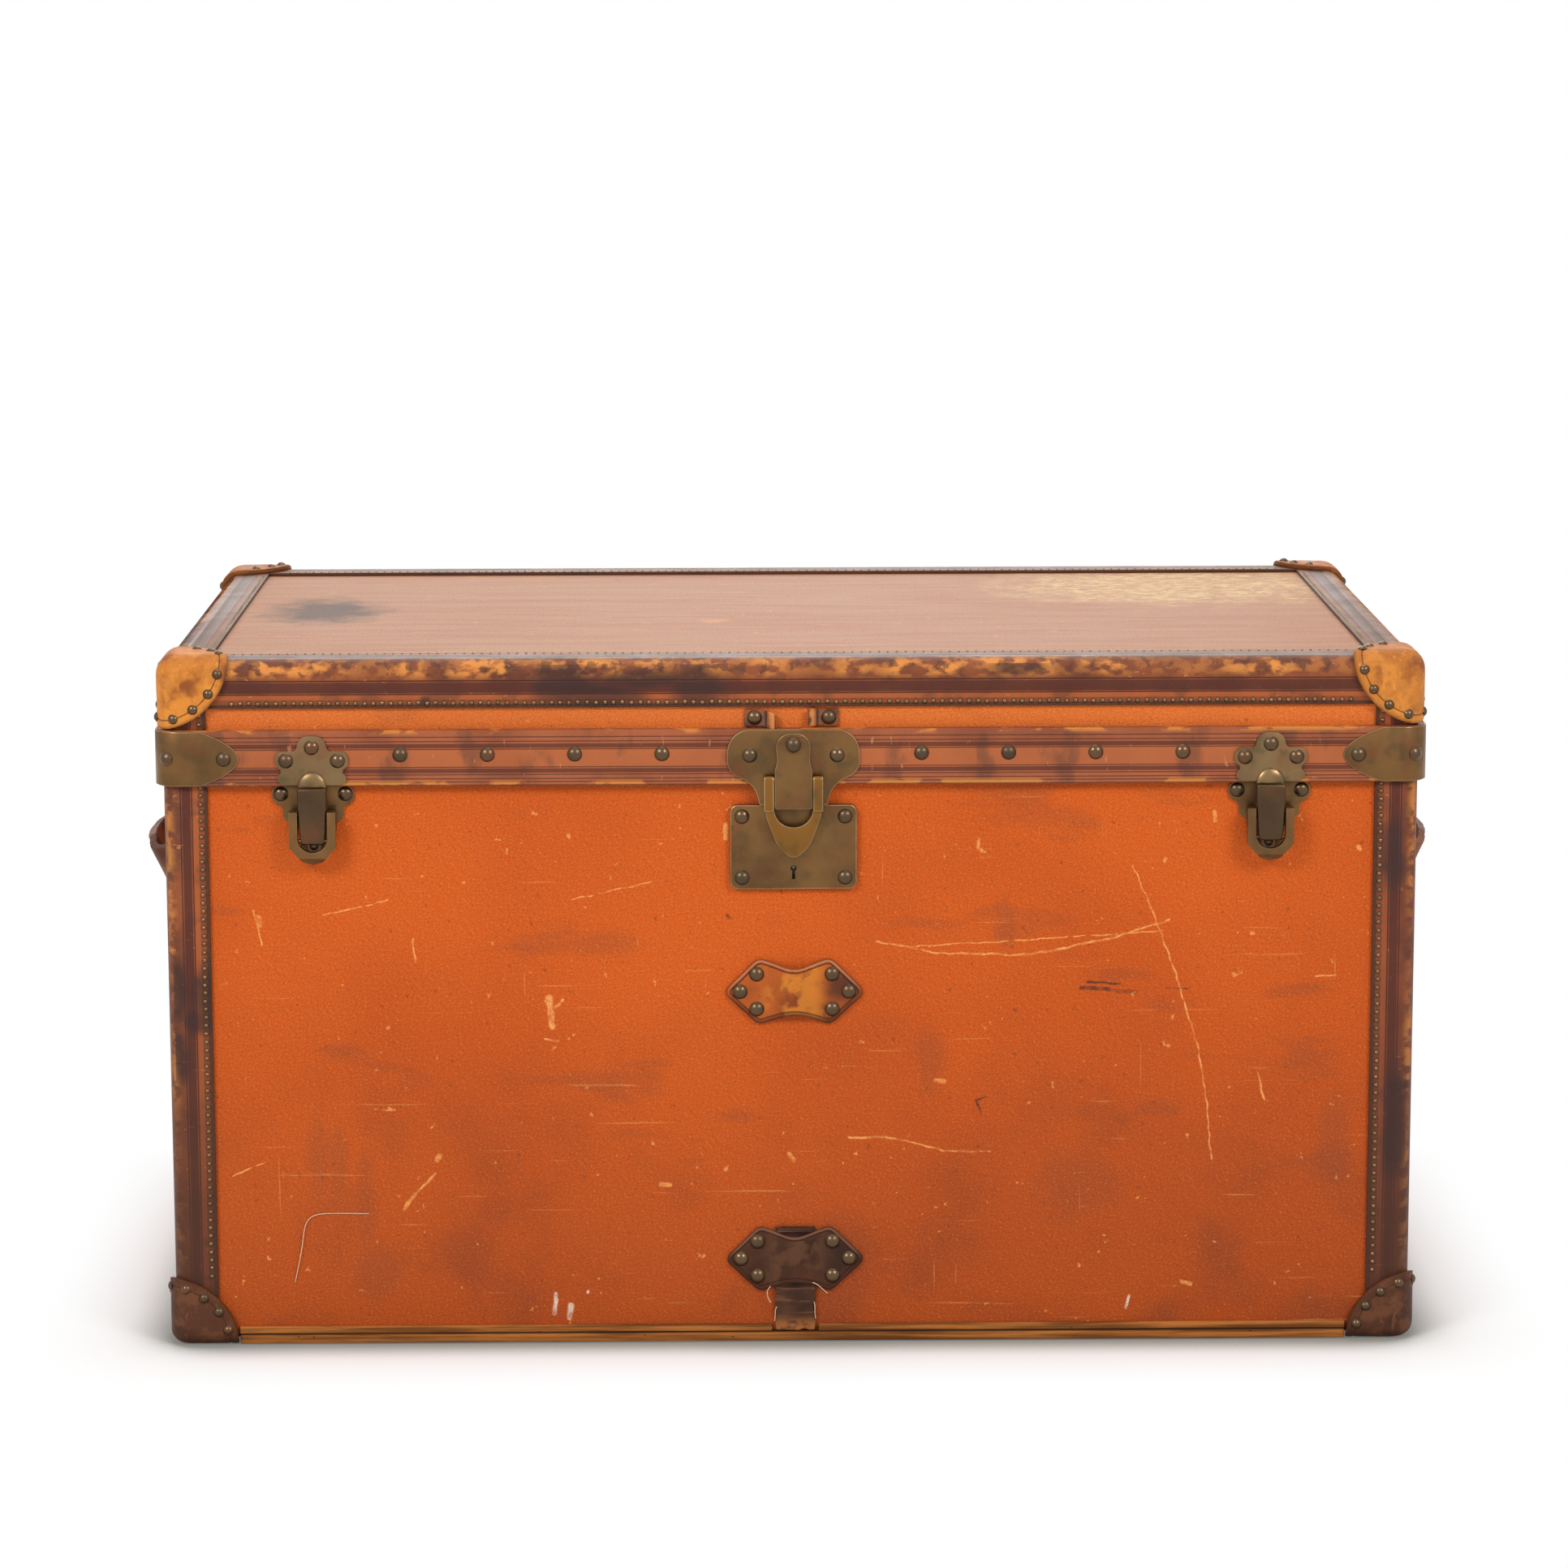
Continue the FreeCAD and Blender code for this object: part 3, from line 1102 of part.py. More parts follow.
def handle_shape():
    """The strap of a handle, lying in the plane of its bow: X out from the trunk, Y along it."""
    half, reach, thick = number("handle_half"), number("handle_reach"), number("handle_thick")
    wide, bend = number("handle_grip_width"), number("handle_bend")
    end_radius = number("handle_end_width") / 2
    low = Vector(0, -half, -wide / 2)
    outer = Part.makeBox(reach, 2 * half, wide, low)
    outer = outer.makeFillet(bend, [e for e in outer.Edges if runs_along(UP)(e)
                                    and e.Vertexes[0].X > reach / 2])
    inner = Part.makeBox(2 * reach - thick, 2 * (half - thick), 2 * wide,
                         Vector(-reach, -half + thick, -wide))
    inner = inner.makeFillet(bend - thick, [e for e in inner.Edges if runs_along(UP)(e)
                                            and e.Vertexes[0].X > 0])
    bow = outer.cut(inner)
    grip = number("handle_grip_half")
    rim = [Vector(-reach, side * y, side_z * z) for side, side_z, y, z in (
        (-1, -1, half, end_radius), (-1, -1, grip, wide / 2), (1, -1, grip, wide / 2),
        (1, -1, half, end_radius), (1, 1, half, end_radius), (1, 1, grip, wide / 2),
        (-1, 1, grip, wide / 2), (-1, 1, half, end_radius))]
    taper = Part.Face(Part.makePolygon(rim + rim[:1])).extrude(Vector(3 * reach, 0, 0))
    bow = bow.common(taper)
    for side in (-1, 1):
        start = Vector(0, half - thick if side > 0 else -half, 0)
        bow = bow.fuse(Part.makeCylinder(end_radius, thick, start, BACK))
    eye = number("handle_pin_radius + pin_play")
    bore = Part.makeCylinder(eye, 2 * half + 2 * thick, Vector(0, -half - thick, 0), BACK)
    return bow.cut(bore).removeSplitter()


def handles():
    shape = handle_shape()
    pivot = Vector(number("handle_x"), 0, number("handle_height"))
    tilt = Rotation(BACK, number("handle_tilt"))
    turn = Rotation(UP, 180)
    piece("handle_right", solid("handle_right", shape, Placement(pivot, tilt)))
    left = Placement(Vector(-pivot.x, 0, pivot.z), turn.multiply(tilt))
    piece("handle_left", solid("handle_left", shape, left))

    parts = []
    pins = []
    places = []
    gap, ear = "handle_thick / 2 + ear_play", "ear_thick"
    for index, side in enumerate(("-1", "1")):
        centre = f"{side} * chape_y"
        base = box(f"chape_base_{index}", ("canvas_x", "canvas_x + plate_thick"),
                   (f"{centre} - chape_width / 2", f"{centre} + chape_width / 2"),
                   ("handle_height - chape_height / 2", "handle_height + chape_height / 2"))
        shapes = [base]
        for name, way in (("near", "-1"), ("far", "1")):
            middle = f"{centre} + {way} * ({gap} + {ear} / 2)"
            shapes.append(box(f"chape_ear_{name}_{index}", ("canvas_x + plate_thick / 2", "handle_x"),
                              (f"{middle} - {ear} / 2", f"{middle} + {ear} / 2"),
                              ("handle_height - ear_radius", "handle_height + ear_radius")))
            shapes.append(rod(f"chape_eye_{name}_{index}", "Y", "ear_radius", ear, "handle_x",
                              middle, "handle_height"))
        blank = fuse(f"chape_blank_{index}", shapes)
        length = f"2 * ({gap} + {ear})"
        bore = rod(f"chape_bore_{index}", "Y", "handle_pin_radius", f"{length} + overrun",
                   "handle_x", centre, "handle_height")
        pins.append(rod(f"handle_pin_{index}", "Y", "handle_pin_radius", length, "handle_x", centre,
                        "handle_height"))
        at = [(Vector(number("canvas_x + plate_thick"), number(centre),
                      number(f"handle_height + {way} * chape_rivet_rise")), RIGHT)
              for way in ("-1", "1")]
        places += at
        bored = cut(f"chape_eyes_{index}", blank, bore)
        parts.append(drilled(f"chape_{index}", bored, at, number("plate_thick")))
    left_and_right("handle_chapes", group("chape_pair", parts))
    left_and_right("handle_pins", group("handle_pin_pair", pins))
    return on_both_sides(places)


def hinges():
    pin_length = "2 * hinge_half"
    middle = "hinge_spacing"
    spans = (("hinge_spacing - hinge_half", "hinge_spacing - hinge_middle_half - running_gap"),
             ("hinge_spacing + hinge_middle_half + running_gap", "hinge_spacing + hinge_half"))
    case_shapes = [box("case_leaf", ("hinge_spacing - hinge_half", "hinge_spacing + hinge_half"),
                       ("canvas_y", "canvas_y + plate_thick"),
                       ("band_low - hinge_leaf_drop", "band_low - hinge_web_gap"))]
    for index, (low, high) in enumerate(spans):
        case_shapes.append(rod(f"case_knuckle_{index}", "X", "hinge_barrel",
                               f"({high}) - ({low})", f"({low} + {high}) / 2", "hinge_y", "band_low"))
        case_shapes.append(box(f"case_web_{index}", (low, high), ("canvas_y", "hinge_y"),
                               ("band_low - hinge_barrel", "band_low - hinge_web_gap")))
    blank = fuse("case_leaf_blank", case_shapes)
    bore = rod("case_leaf_bore", "X", "hinge_pin_radius", f"{pin_length} + overrun", middle,
               "hinge_y", "band_low")
    leaf = cut("case_leaf_eye", blank, bore)
    outer = "hinge_half - hinge_rivet_inset"
    case_places = [(Vector(number(f"{middle} + {side} * ({outer})"), number("canvas_y + plate_thick"),
                           number(f"band_low - hinge_leaf_drop + {rise}")), BACK)
                   for side in ("-1", "1")
                   for rise in ("hinge_rivet_inset", "hinge_leaf_drop - 2 * hinge_rivet_inset")]
    left_and_right("hinge_case_leaves", drilled("case_leaf_whole", leaf, case_places,
                                                number("plate_thick")))
    left_and_right("hinge_pins", rod("hinge_pin_rod", "X", "hinge_pin_radius", pin_length, middle,
                                     "hinge_y", "band_low"))

    lid_shapes = [box("lid_leaf", ("hinge_spacing - hinge_half", "hinge_spacing + hinge_half"),
                      ("band_y", "plate_y"),
                      ("band_low + hinge_leaf_lift", "band_low + hinge_leaf_rise")),
                  box("lid_leaf_neck", ("hinge_spacing - hinge_middle_half",
                                        "hinge_spacing + hinge_middle_half"),
                      ("band_y", "plate_y"), ("band_low", "band_low + hinge_leaf_rise")),
                  rod("lid_knuckle", "X", "hinge_barrel", "2 * hinge_middle_half", middle,
                      "hinge_y", "band_low")]
    blank = fuse("lid_leaf_blank", lid_shapes)
    bore = rod("lid_leaf_bore", "X", "hinge_pin_radius + pin_play", f"{pin_length} + overrun",
               middle, "hinge_y", "band_low")
    leaf = cut("lid_leaf_eye", blank, bore)
    level = "band_low + (hinge_leaf_rise + hinge_leaf_lift) / 2"
    lid_places = [(Vector(number(f"{middle} + {side} * ({outer})"), number("plate_y"),
                          number(level)), BACK) for side in ("-1", "1")]
    left_and_right("hinge_lid_leaves", drilled("lid_leaf_whole", leaf, lid_places,
                                               number("plate_thick")))
    return on_both_sides(case_places), on_both_sides(lid_places)


def stay_line():
    """Middle line of a lid stay, folded as it lies under the shut lid. A point's turn about the
    hinge grows smoothly along the tape from nothing at the case to all of it at the lid."""
    axis = Vector(0, number("hinge_y"), number("band_low"))
    turn = math.radians(number("lid_open_angle"))
    start = Vector(0, number("stay_forward"), number("stay_case_height")) - axis
    end = Vector(0, number("stay_forward"), number("stay_lid_height")) - axis

    def turned(point, angle):
        return Vector(0, point.y * math.cos(angle) + point.z * math.sin(angle),
                      -point.y * math.sin(angle) + point.z * math.cos(angle))

    end = turned(end, turn)
    line = []
    for step in range(STAY_STEPS + 1):
        along = step / STAY_STEPS
        share = along * along * (3 - 2 * along)
        line.append(axis + turned(start + (end - start) * along, -share * turn))
    return line


def stays():
    line = stay_line()
    half = number("stay_width") / 2
    near, far = [], []
    for index, point in enumerate(line):
        before, after = line[max(index - 1, 0)], line[min(index + 1, len(line) - 1)]
        along = (after - before).normalize()
        side = Vector(0, -along.z, along.y) * half
        near.append(point + side)
        far.append(point - side)
    rim = near + far[::-1]
    depth = number("inner_x") - number("stay_clear") - number("stay_thick")
    face = Part.Face(Part.makePolygon(rim + rim[:1]))
    tape = face.extrude(Vector(number("stay_thick"), 0, 0))
    piece("lid_stay_right", solid("lid_stay_right", tape, Placement(RIGHT * depth, Rotation())))
    far_side = LEFT * (depth + number("stay_thick"))
    piece("lid_stay_left", solid("lid_stay_left", tape, Placement(far_side, Rotation())))
    plate_x = ("inner_x - stay_clear - stay_thick - stay_plate_thick",
               "inner_x - stay_clear - stay_thick")
    span = ("stay_forward - stay_plate_length / 2", "stay_forward + stay_plate_length / 2")
    for label, height in (("stay_case_plates", "stay_case_height"),
                          ("stay_lid_plates", "stay_lid_height")):
        plate = box(label + "_right", plate_x, span, (f"{height} - stay_plate_height / 2",
                                                      f"{height} + stay_plate_height / 2"))
        left_and_right(label, plate)


def write_parts():
    doc.recompute()
    for obj in doc.Objects:
        if "Invalid" in obj.State or "Error" in obj.State:
            raise RuntimeError(f"{obj.Name} failed: {obj.State}")
    for label, obj in PARTS.items():
        if obj.Shape.isNull() or not obj.Shape.isValid() or not obj.Shape.Solids:
            raise RuntimeError(f"{label} has no sound solid")
    os.makedirs("parts", exist_ok=True)
    for label, obj in PARTS.items():
        obj.Shape.exportStep(f"parts/{label}.step")
        size = obj.Shape.BoundBox
        print(f"{label}: {len(obj.Shape.Solids)} solids, "
              f"{size.XLength:.1f} x {size.YLength:.1f} x {size.ZLength:.1f}")


skins(wood_boards())
leather_edging()
front_strips()
corner_caps()
cap_rivets()
band_places = closing_band()
hasp_places, cover_places = hasp()
lock_places = lock()
catch_places = catches()
base_places = clasp_base()
clasp_levers()
upper_places = patch("patch_upper", "upper_patch_height")
lower_places = patch("patch_lower", "lower_patch_height")
tab_places = strap_and_tabs()
chape_places = handles()
case_hinge_places, lid_hinge_places = hinges()
stays()

plate_shank = number("plate_thick")
leather_shank = number("leather_thick")
case_heads = (rivets(lock_places, number("lock_plate_thick"))
              + rivets(base_places, plate_shank) + rivets(upper_places, leather_shank)
              + rivets(lower_places, leather_shank) + rivets(chape_places, plate_shank)
              + rivets(case_hinge_places, plate_shank))
piece("case_rivets", solid("case_rivets", Part.makeCompound(case_heads)))
lid_heads = (rivets(band_places, number("band_plate_thick")) + rivets(band_rivet_places(), 0.0)
             + rivets(hasp_places, plate_shank) + rivets(cover_places, 0.0)
             + rivets(catch_places, plate_shank) + rivets(tab_places, number("tab_thick"))
             + rivets(lid_hinge_places, plate_shank))
piece("lid_rivets", solid("lid_rivets", Part.makeCompound(lid_heads)))
write_parts()
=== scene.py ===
import json
import math
import random
from functools import reduce

import bmesh
import bpy
from bpy.props import FloatProperty, FloatVectorProperty, PointerProperty
from mathutils import Matrix, Vector, noise

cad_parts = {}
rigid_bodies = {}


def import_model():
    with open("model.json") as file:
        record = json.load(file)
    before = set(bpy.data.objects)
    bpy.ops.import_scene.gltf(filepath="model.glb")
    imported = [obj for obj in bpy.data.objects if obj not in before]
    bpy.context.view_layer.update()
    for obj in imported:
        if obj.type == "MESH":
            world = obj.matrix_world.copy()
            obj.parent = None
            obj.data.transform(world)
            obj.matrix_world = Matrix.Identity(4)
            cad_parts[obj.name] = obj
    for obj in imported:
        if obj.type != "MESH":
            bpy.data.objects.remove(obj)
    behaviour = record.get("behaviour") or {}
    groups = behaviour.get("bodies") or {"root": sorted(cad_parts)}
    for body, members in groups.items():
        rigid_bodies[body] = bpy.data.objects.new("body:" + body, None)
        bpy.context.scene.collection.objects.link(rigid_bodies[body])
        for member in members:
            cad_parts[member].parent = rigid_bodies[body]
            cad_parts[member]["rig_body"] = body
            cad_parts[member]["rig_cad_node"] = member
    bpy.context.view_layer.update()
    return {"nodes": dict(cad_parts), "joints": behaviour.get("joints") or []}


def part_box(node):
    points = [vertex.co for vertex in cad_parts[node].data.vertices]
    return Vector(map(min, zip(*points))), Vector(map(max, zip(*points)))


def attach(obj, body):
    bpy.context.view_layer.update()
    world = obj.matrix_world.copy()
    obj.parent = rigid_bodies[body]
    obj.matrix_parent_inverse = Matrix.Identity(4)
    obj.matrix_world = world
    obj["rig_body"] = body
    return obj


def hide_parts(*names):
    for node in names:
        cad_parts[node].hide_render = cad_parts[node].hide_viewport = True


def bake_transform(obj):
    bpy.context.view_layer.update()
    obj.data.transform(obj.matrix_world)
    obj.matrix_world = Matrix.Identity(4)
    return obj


bl_info = {
    "name": "Travel trunk",
    "version": (1, 0, 0),
    "blender": (4, 5, 0),
    "location": "View3D > Sidebar > Trunk",
    "description": "Dresses the packed travel trunk: canvas, leather, brass and lining",
    "category": "Add Mesh",
}

# Metres. Origin at the middle of the footprint, +Z up, the front faces -Y.
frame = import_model()

FRONT = Vector((0, -1, 0))
BACK = Vector((0, 1, 0))
RIGHT = Vector((1, 0, 0))
UP = Vector((0, 0, 1))

# The leather edging's outer faces, and the other planes that pieces are placed by
POST_LOW, POST_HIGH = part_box("corner_trims")
TOP_LOW, TOP_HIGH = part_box("lid_edge_trims")
BAND_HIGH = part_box("closing_band")[1]
CANVAS_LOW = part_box("case_canvas")[0]
TOP_CAP_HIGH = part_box("top_corner_caps")[1]
BASE_CAP_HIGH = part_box("base_corner_caps")[1]
HALF_WIDTH = POST_HIGH.x
HALF_DEPTH = POST_HIGH.y
FOOT = POST_LOW.z
TOP = TOP_HIGH.z
HINGE_LINE = Vector(next(joint["pos_m"] for joint in frame["joints"] if joint["child"] == "lid"))
BAND_ROUND = 0.019

POST_WIDTH = 0.0355
RIM_WIDTH = 0.0375
RIM_DROP = TOP - TOP_LOW.z
MERGE = 1e-5

# Tooled lines and stripes, from the box's outer edge, and the band's by height
POST_LINES = (0.0141, 0.0232, 0.0330)
RIM_LINES = (0.0168, 0.0272, 0.0362)
BAND_LINES = (0.4990, 0.4955, 0.4892, 0.4748, 0.4688, 0.4655, 0.4630)
POST_NAILS = POST_WIDTH - 0.0050
RIM_NAILS = 0.0343
POST_NAIL_CLEAR, RIM_NAIL_CLEAR = 0.060, 0.056
POST_NAIL_ENDS, LID_NAIL_ENDS = (0.058, 0.4585), (0.5090, 0.5165)
NAIL_SHAKE = 0.0003

# Caps: how far each reaches from its corner, and its tooled line from its rim
TOP_CAP_REACH, BASE_CAP_REACH = 0.0595, 0.0565
BASE_CORNER = Vector((BASE_CAP_HIGH.x, BASE_CAP_HIGH.y, 0.0))
CAP_LINE = 0.007

# Where the small pieces sit
PATCH_X, UPPER_PATCH_Z, LOWER_PATCH_Z = 0.0018, 0.2906, 0.0697
PATCH_CREASE = 0.0034
CLASP_X = 0.3805
KEYHOLE_Z = 0.3916
HANDLE_PIVOT, HANDLE_TILT = (0.510, 0.366), math.radians(25)
LID_OPENING = math.radians(100)
STAY_Y, STAY_LOW, STAY_HIGH = 0.120, 0.400, 0.520
STAY_WIDTH, STAY_THICK = 0.018, 0.0010


def colour(red, green, blue):
    """A colour written as on a screen, from 0 to 255, as the linear one that shaders take."""
    parts = [value / 255 for value in (red, green, blue)]
    return tuple(p / 12.92 if p <= 0.04045 else ((p + 0.055) / 1.055) ** 2.4
                 for p in parts) + (1.0,)


def paint(name, text, red, green, blue):
    return FloatVectorProperty(name=name, description=text, subtype="COLOR", size=4, min=0.0,
                               max=1.0, default=colour(red, green, blue))


def length(name, text, default):
    return FloatProperty(name=name, description=text, default=default, min=0.0, unit="LENGTH")


class TrunkSizes(bpy.types.PropertyGroup):
    nail_radius: length("Nail radius", "Head of a small nail in the leather edging", 0.0020)
    nail_rise: length("Nail rise", "How far a small nail stands out", 0.0017)
    rim_nail_pitch: length("Rim nail pitch", "Step between the nails round the lid", 0.00705)
    post_nail_pitch: length("Post nail pitch", "Step between the nails up the corners", 0.0067)
    tooling: length("Tooling depth", "How deep the tooled lines are pressed", 0.0004)
    leather_round: length("Leather rounding", "Rounding of cut leather edges", 0.0008)
    metal_round: length("Metal rounding", "Rounding of brass edges", 0.0005)
    cap_grain: length("Cap mesh size", "Mesh size of the corner caps", 0.0012)
    patch_grain: length("Patch mesh size", "Mesh size of the riveted patches", 0.0008)


class TrunkColours(bpy.types.PropertyGroup):
    canvas: paint("Canvas", "Painted canvas where it is fresh", 200, 86, 22)
    canvas_deep: paint("Deep canvas", "Canvas in its darker patches", 184, 76, 20)
    # The painted shade of the canvas towards the floor; the twill's darker strokes use it too
    canvas_foot: paint("Canvas foot", "Canvas towards the floor", 140, 60, 24)
    canvas_top: paint("Faded canvas", "The sun-bleached top", 164, 122, 92)
    chipped: paint("Chipped canvas", "Bare threads in scratches and chips", 235, 160, 88)
    leather: paint("Edging leather", "The leather of the edging", 138, 74, 42)
    leather_shade: paint("Leather shade", "The browner clouds in the edging", 102, 54, 34)
    leather_pale: paint("Worn leather", "Leather rubbed to its core", 214, 136, 62)
    leather_dark: paint("Dark leather", "Tooled stripes and grime", 76, 34, 24)
    cap: paint("Cap leather", "The pale leather of the top caps", 214, 134, 52)
    # Also laid over the caps towards the right and at the back
    cap_brown: paint("Cap shade", "Handling stains on the top caps", 142, 78, 36)
    base_cap: paint("Base cap leather", "The dark leather of the base caps", 88, 52, 34)
    brass: paint("Aged brass", "Brass under its patina", 126, 92, 54)
    brass_bright: paint("Bright brass", "The newer brass of the hasp", 138, 94, 42)
    brass_dark: paint("Brass patina", "Brown patina on the brass", 72, 51, 35)
    steel: paint("Steel", "The lock's steel works", 120, 118, 112)
    wood: paint("Bare wood", "Poplar with its cover gone", 178, 110, 52)
    wood_dark: paint("Wood shade", "Dirt and grain in the bare wood", 108, 64, 30)
    lining: paint("Lining", "Cotton lining", 196, 178, 146)
    tape: paint("Stay tape", "Woven tape of the lid stays", 150, 118, 78)


def sizes():
    return bpy.context.scene.trunk_sizes


def colours():
    return bpy.context.scene.trunk_colours


# Selecting, editing and finishing meshes
def activate(piece):
    bpy.ops.object.select_all(action="DESELECT")
    piece.select_set(True)
    bpy.context.view_layer.objects.active = piece


def edit(piece, test=None, kind="FACE"):
    """Opens a piece for editing with what the test picks selected, or all of it."""
    activate(piece)
    bpy.ops.object.mode_set(mode="EDIT")
    bpy.ops.mesh.select_mode(type=kind)
    bpy.ops.mesh.select_all(action="SELECT" if test is None else "DESELECT")
    if test is not None:
        mesh = bmesh.from_edit_mesh(piece.data)
        for part in {"FACE": mesh.faces, "EDGE": mesh.edges, "VERT": mesh.verts}[kind]:
            if test(part):
                part.select_set(True)
        mesh.select_flush_mode()
        bmesh.update_edit_mesh(piece.data)


def leave():
    bpy.ops.object.mode_set(mode="OBJECT")


def added(name):
    """Names what an operator has just added, and gives it its own place in the mesh."""
    piece = bpy.context.view_layer.objects.active
    piece.name = name
    piece.data.name = name
    bpy.ops.object.transform_apply(location=True, rotation=True, scale=True)
    return piece


def primitive(kind, name, **settings):
    """A new primitive at its size and place, with nothing else selected."""
    bpy.ops.object.select_all(action="DESELECT")
    getattr(bpy.ops.mesh, f"primitive_{kind}_add")(**settings)
    return added(name)


def block(name, low, high):
    """A box between two corners."""
    low, high = Vector(low), Vector(high)
    return primitive("cube", name, size=1, location=(low + high) / 2, scale=high - low)


def twin(piece, name):
    """A copy with its own mesh."""
    other = piece.copy()
    other.data = piece.data.copy()
    other.name = name
    other.data.name = name
    bpy.context.scene.collection.objects.link(other)
    return other


def copied(node, name):
    """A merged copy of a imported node, to be worked on."""
    piece = twin(frame["nodes"][node], name)
    piece.parent = None
    piece.hide_render = False
    piece.hide_viewport = False
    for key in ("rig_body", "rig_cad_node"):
        del piece[key]
    piece.data.materials.clear()
    activate(piece)
    bpy.ops.mesh.customdata_custom_splitnormals_clear()
    edit(piece)
    bpy.ops.mesh.remove_doubles(threshold=MERGE)
    bpy.ops.mesh.dissolve_limited(angle_limit=math.radians(0.5))
    leave()
    return piece


def sliced(piece, normal, places):
    """Cuts edge loops through a piece where it meets planes square to a direction."""
    for place in places:
        edit(piece)
        bpy.ops.mesh.bisect(plane_co=Vector(normal) * place, plane_no=normal)
        leave()


def applied(piece, kind, **settings):
    activate(piece)
    modifier = piece.modifiers.new(kind.title(), kind)
    for key, value in settings.items():
        setattr(modifier, key, value)
    bpy.ops.object.modifier_apply(modifier=modifier.name)
    return piece


def softened(piece, width, segments=2, angle=35.0, **settings):
    return applied(piece, "BEVEL", width=width, segments=segments, limit_method="ANGLE",
                   angle_limit=math.radians(angle), **settings)


def worn_highlit_edges(piece, width, metal, segments=2, angle=35.0):
    """Eases a metal piece's edges and shows them bright: rubbed brass, and a painted highlight on
    the edges.
    """
    for name in (metal, "rubbed_highlight_brass"):
        piece.data.materials.append(material(name))
    return softened(piece, width, segments, angle, material=1)


def remeshed(piece, grain, rounds=3):
    """Turns a closed piece into an even skin with its edges worn round."""
    applied(piece, "REMESH", mode="VOXEL", voxel_size=grain, use_smooth_shade=True)
    return applied(piece, "SMOOTH", factor=0.5, iterations=rounds)


def moulded(piece, shift):
    """Moves each point by what a function of its place and normal gives."""
    vertices = piece.data.vertices
    before = [(vertex.co.copy(), vertex.normal.copy()) for vertex in vertices]
    after = [place + shift(place, normal) for place, normal in before]
    vertices.foreach_set("co", [value for place in after for value in place])
    piece.data.update()
    return piece


def uneven(piece, amount, scale):
    """Gives hand-worked leather its slight lumps."""
    return moulded(piece, lambda at, normal: normal * amount * noise.noise(at * scale))


def joined(pieces, name):
    activate(pieces[0])
    for piece in pieces[1:]:
        piece.select_set(True)
    bpy.ops.object.join()
    pieces[0].name = name
    pieces[0].data.name = name
    return pieces[0]


def mirrored(piece, name, axis):
    """A copy on the other side of the trunk, with its faces turned outwards."""
    other = twin(piece, name)
    other.data.transform(Matrix.Scale(-1, 4, axis))
    other.data.flip_normals()
    return other


def paired(right, name):
    """A piece and its mirror image on the trunk's left, as one."""
    return joined([right, mirrored(right, name + "_left", RIGHT)], name)


def finished(piece, body, finish, slot, *nodes, angle=40.0):
    """Smooths, paints and fastens a piece, and hides the nodes that it stands for."""
    activate(piece)
    bpy.ops.object.shade_smooth_by_angle(angle=math.radians(angle))
    if not piece.data.materials:
        piece.data.materials.append(material(finish))
    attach(piece, body)
    if nodes:
        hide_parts(*nodes)
    return piece


def painted(node, finish):
    """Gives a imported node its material."""
    target = frame["nodes"][node]
    target.data.materials.clear()
    target.data.materials.append(material(finish))


def dressed(node, name, body, metal, slot, width, segments=2):
    """A packed brass node with its edges eased, and rubbed bright with a painted highlight."""
    piece = worn_highlit_edges(copied(node, name), width, metal, segments)
    return finished(piece, body, metal, slot, node)


def clamped(value):
    return min(1.0, max(0.0, value))


def rounded(corners, steps=6):
    """Points of a closed outline whose corners, given as (across, up, radius), are arcs."""
    points = []
    for index, (across, up, radius) in enumerate(corners):
        here = Vector((across, up))
        before = (Vector(corners[index - 1][:2]) - here).normalized()
        after = (Vector(corners[(index + 1) % len(corners)][:2]) - here).normalized()
        half = before.angle(after) / 2
        middle = (before + after).normalized()
        centre = here + middle * radius / math.sin(half)
        reach = radius / math.tan(half)
        start = here + before * reach - centre
        turn = start.angle_signed(here + after * reach - centre)
        for step in range(steps + 1):
            angle = -turn * step / steps
            points.append(centre + Vector((start.x * math.cos(angle) - start.y * math.sin(angle),
                                           start.x * math.sin(angle) + start.y * math.cos(angle))))
    return points


def plate(name, outline, centre, thick):
    """An upright plate cut to an outline, from its back face towards the front."""
    piece = primitive("circle", name, vertices=len(outline), fill_type="NGON")
    for vertex, point in zip(piece.data.vertices, outline):
        vertex.co = (centre[0] + point.x, centre[1], centre[2] + point.y)
    edit(piece)
    bpy.ops.mesh.extrude_region_move(TRANSFORM_OT_translate={"value": FRONT * thick})
    bpy.ops.mesh.select_all(action="SELECT")
    bpy.ops.mesh.normals_make_consistent(inside=False)
    leave()
    return piece


def both_ways(corners):
    """A full outline from its right half, given from the foot up."""
    return corners + [(-across, up, radius) for across, up, radius in reversed(corners)]


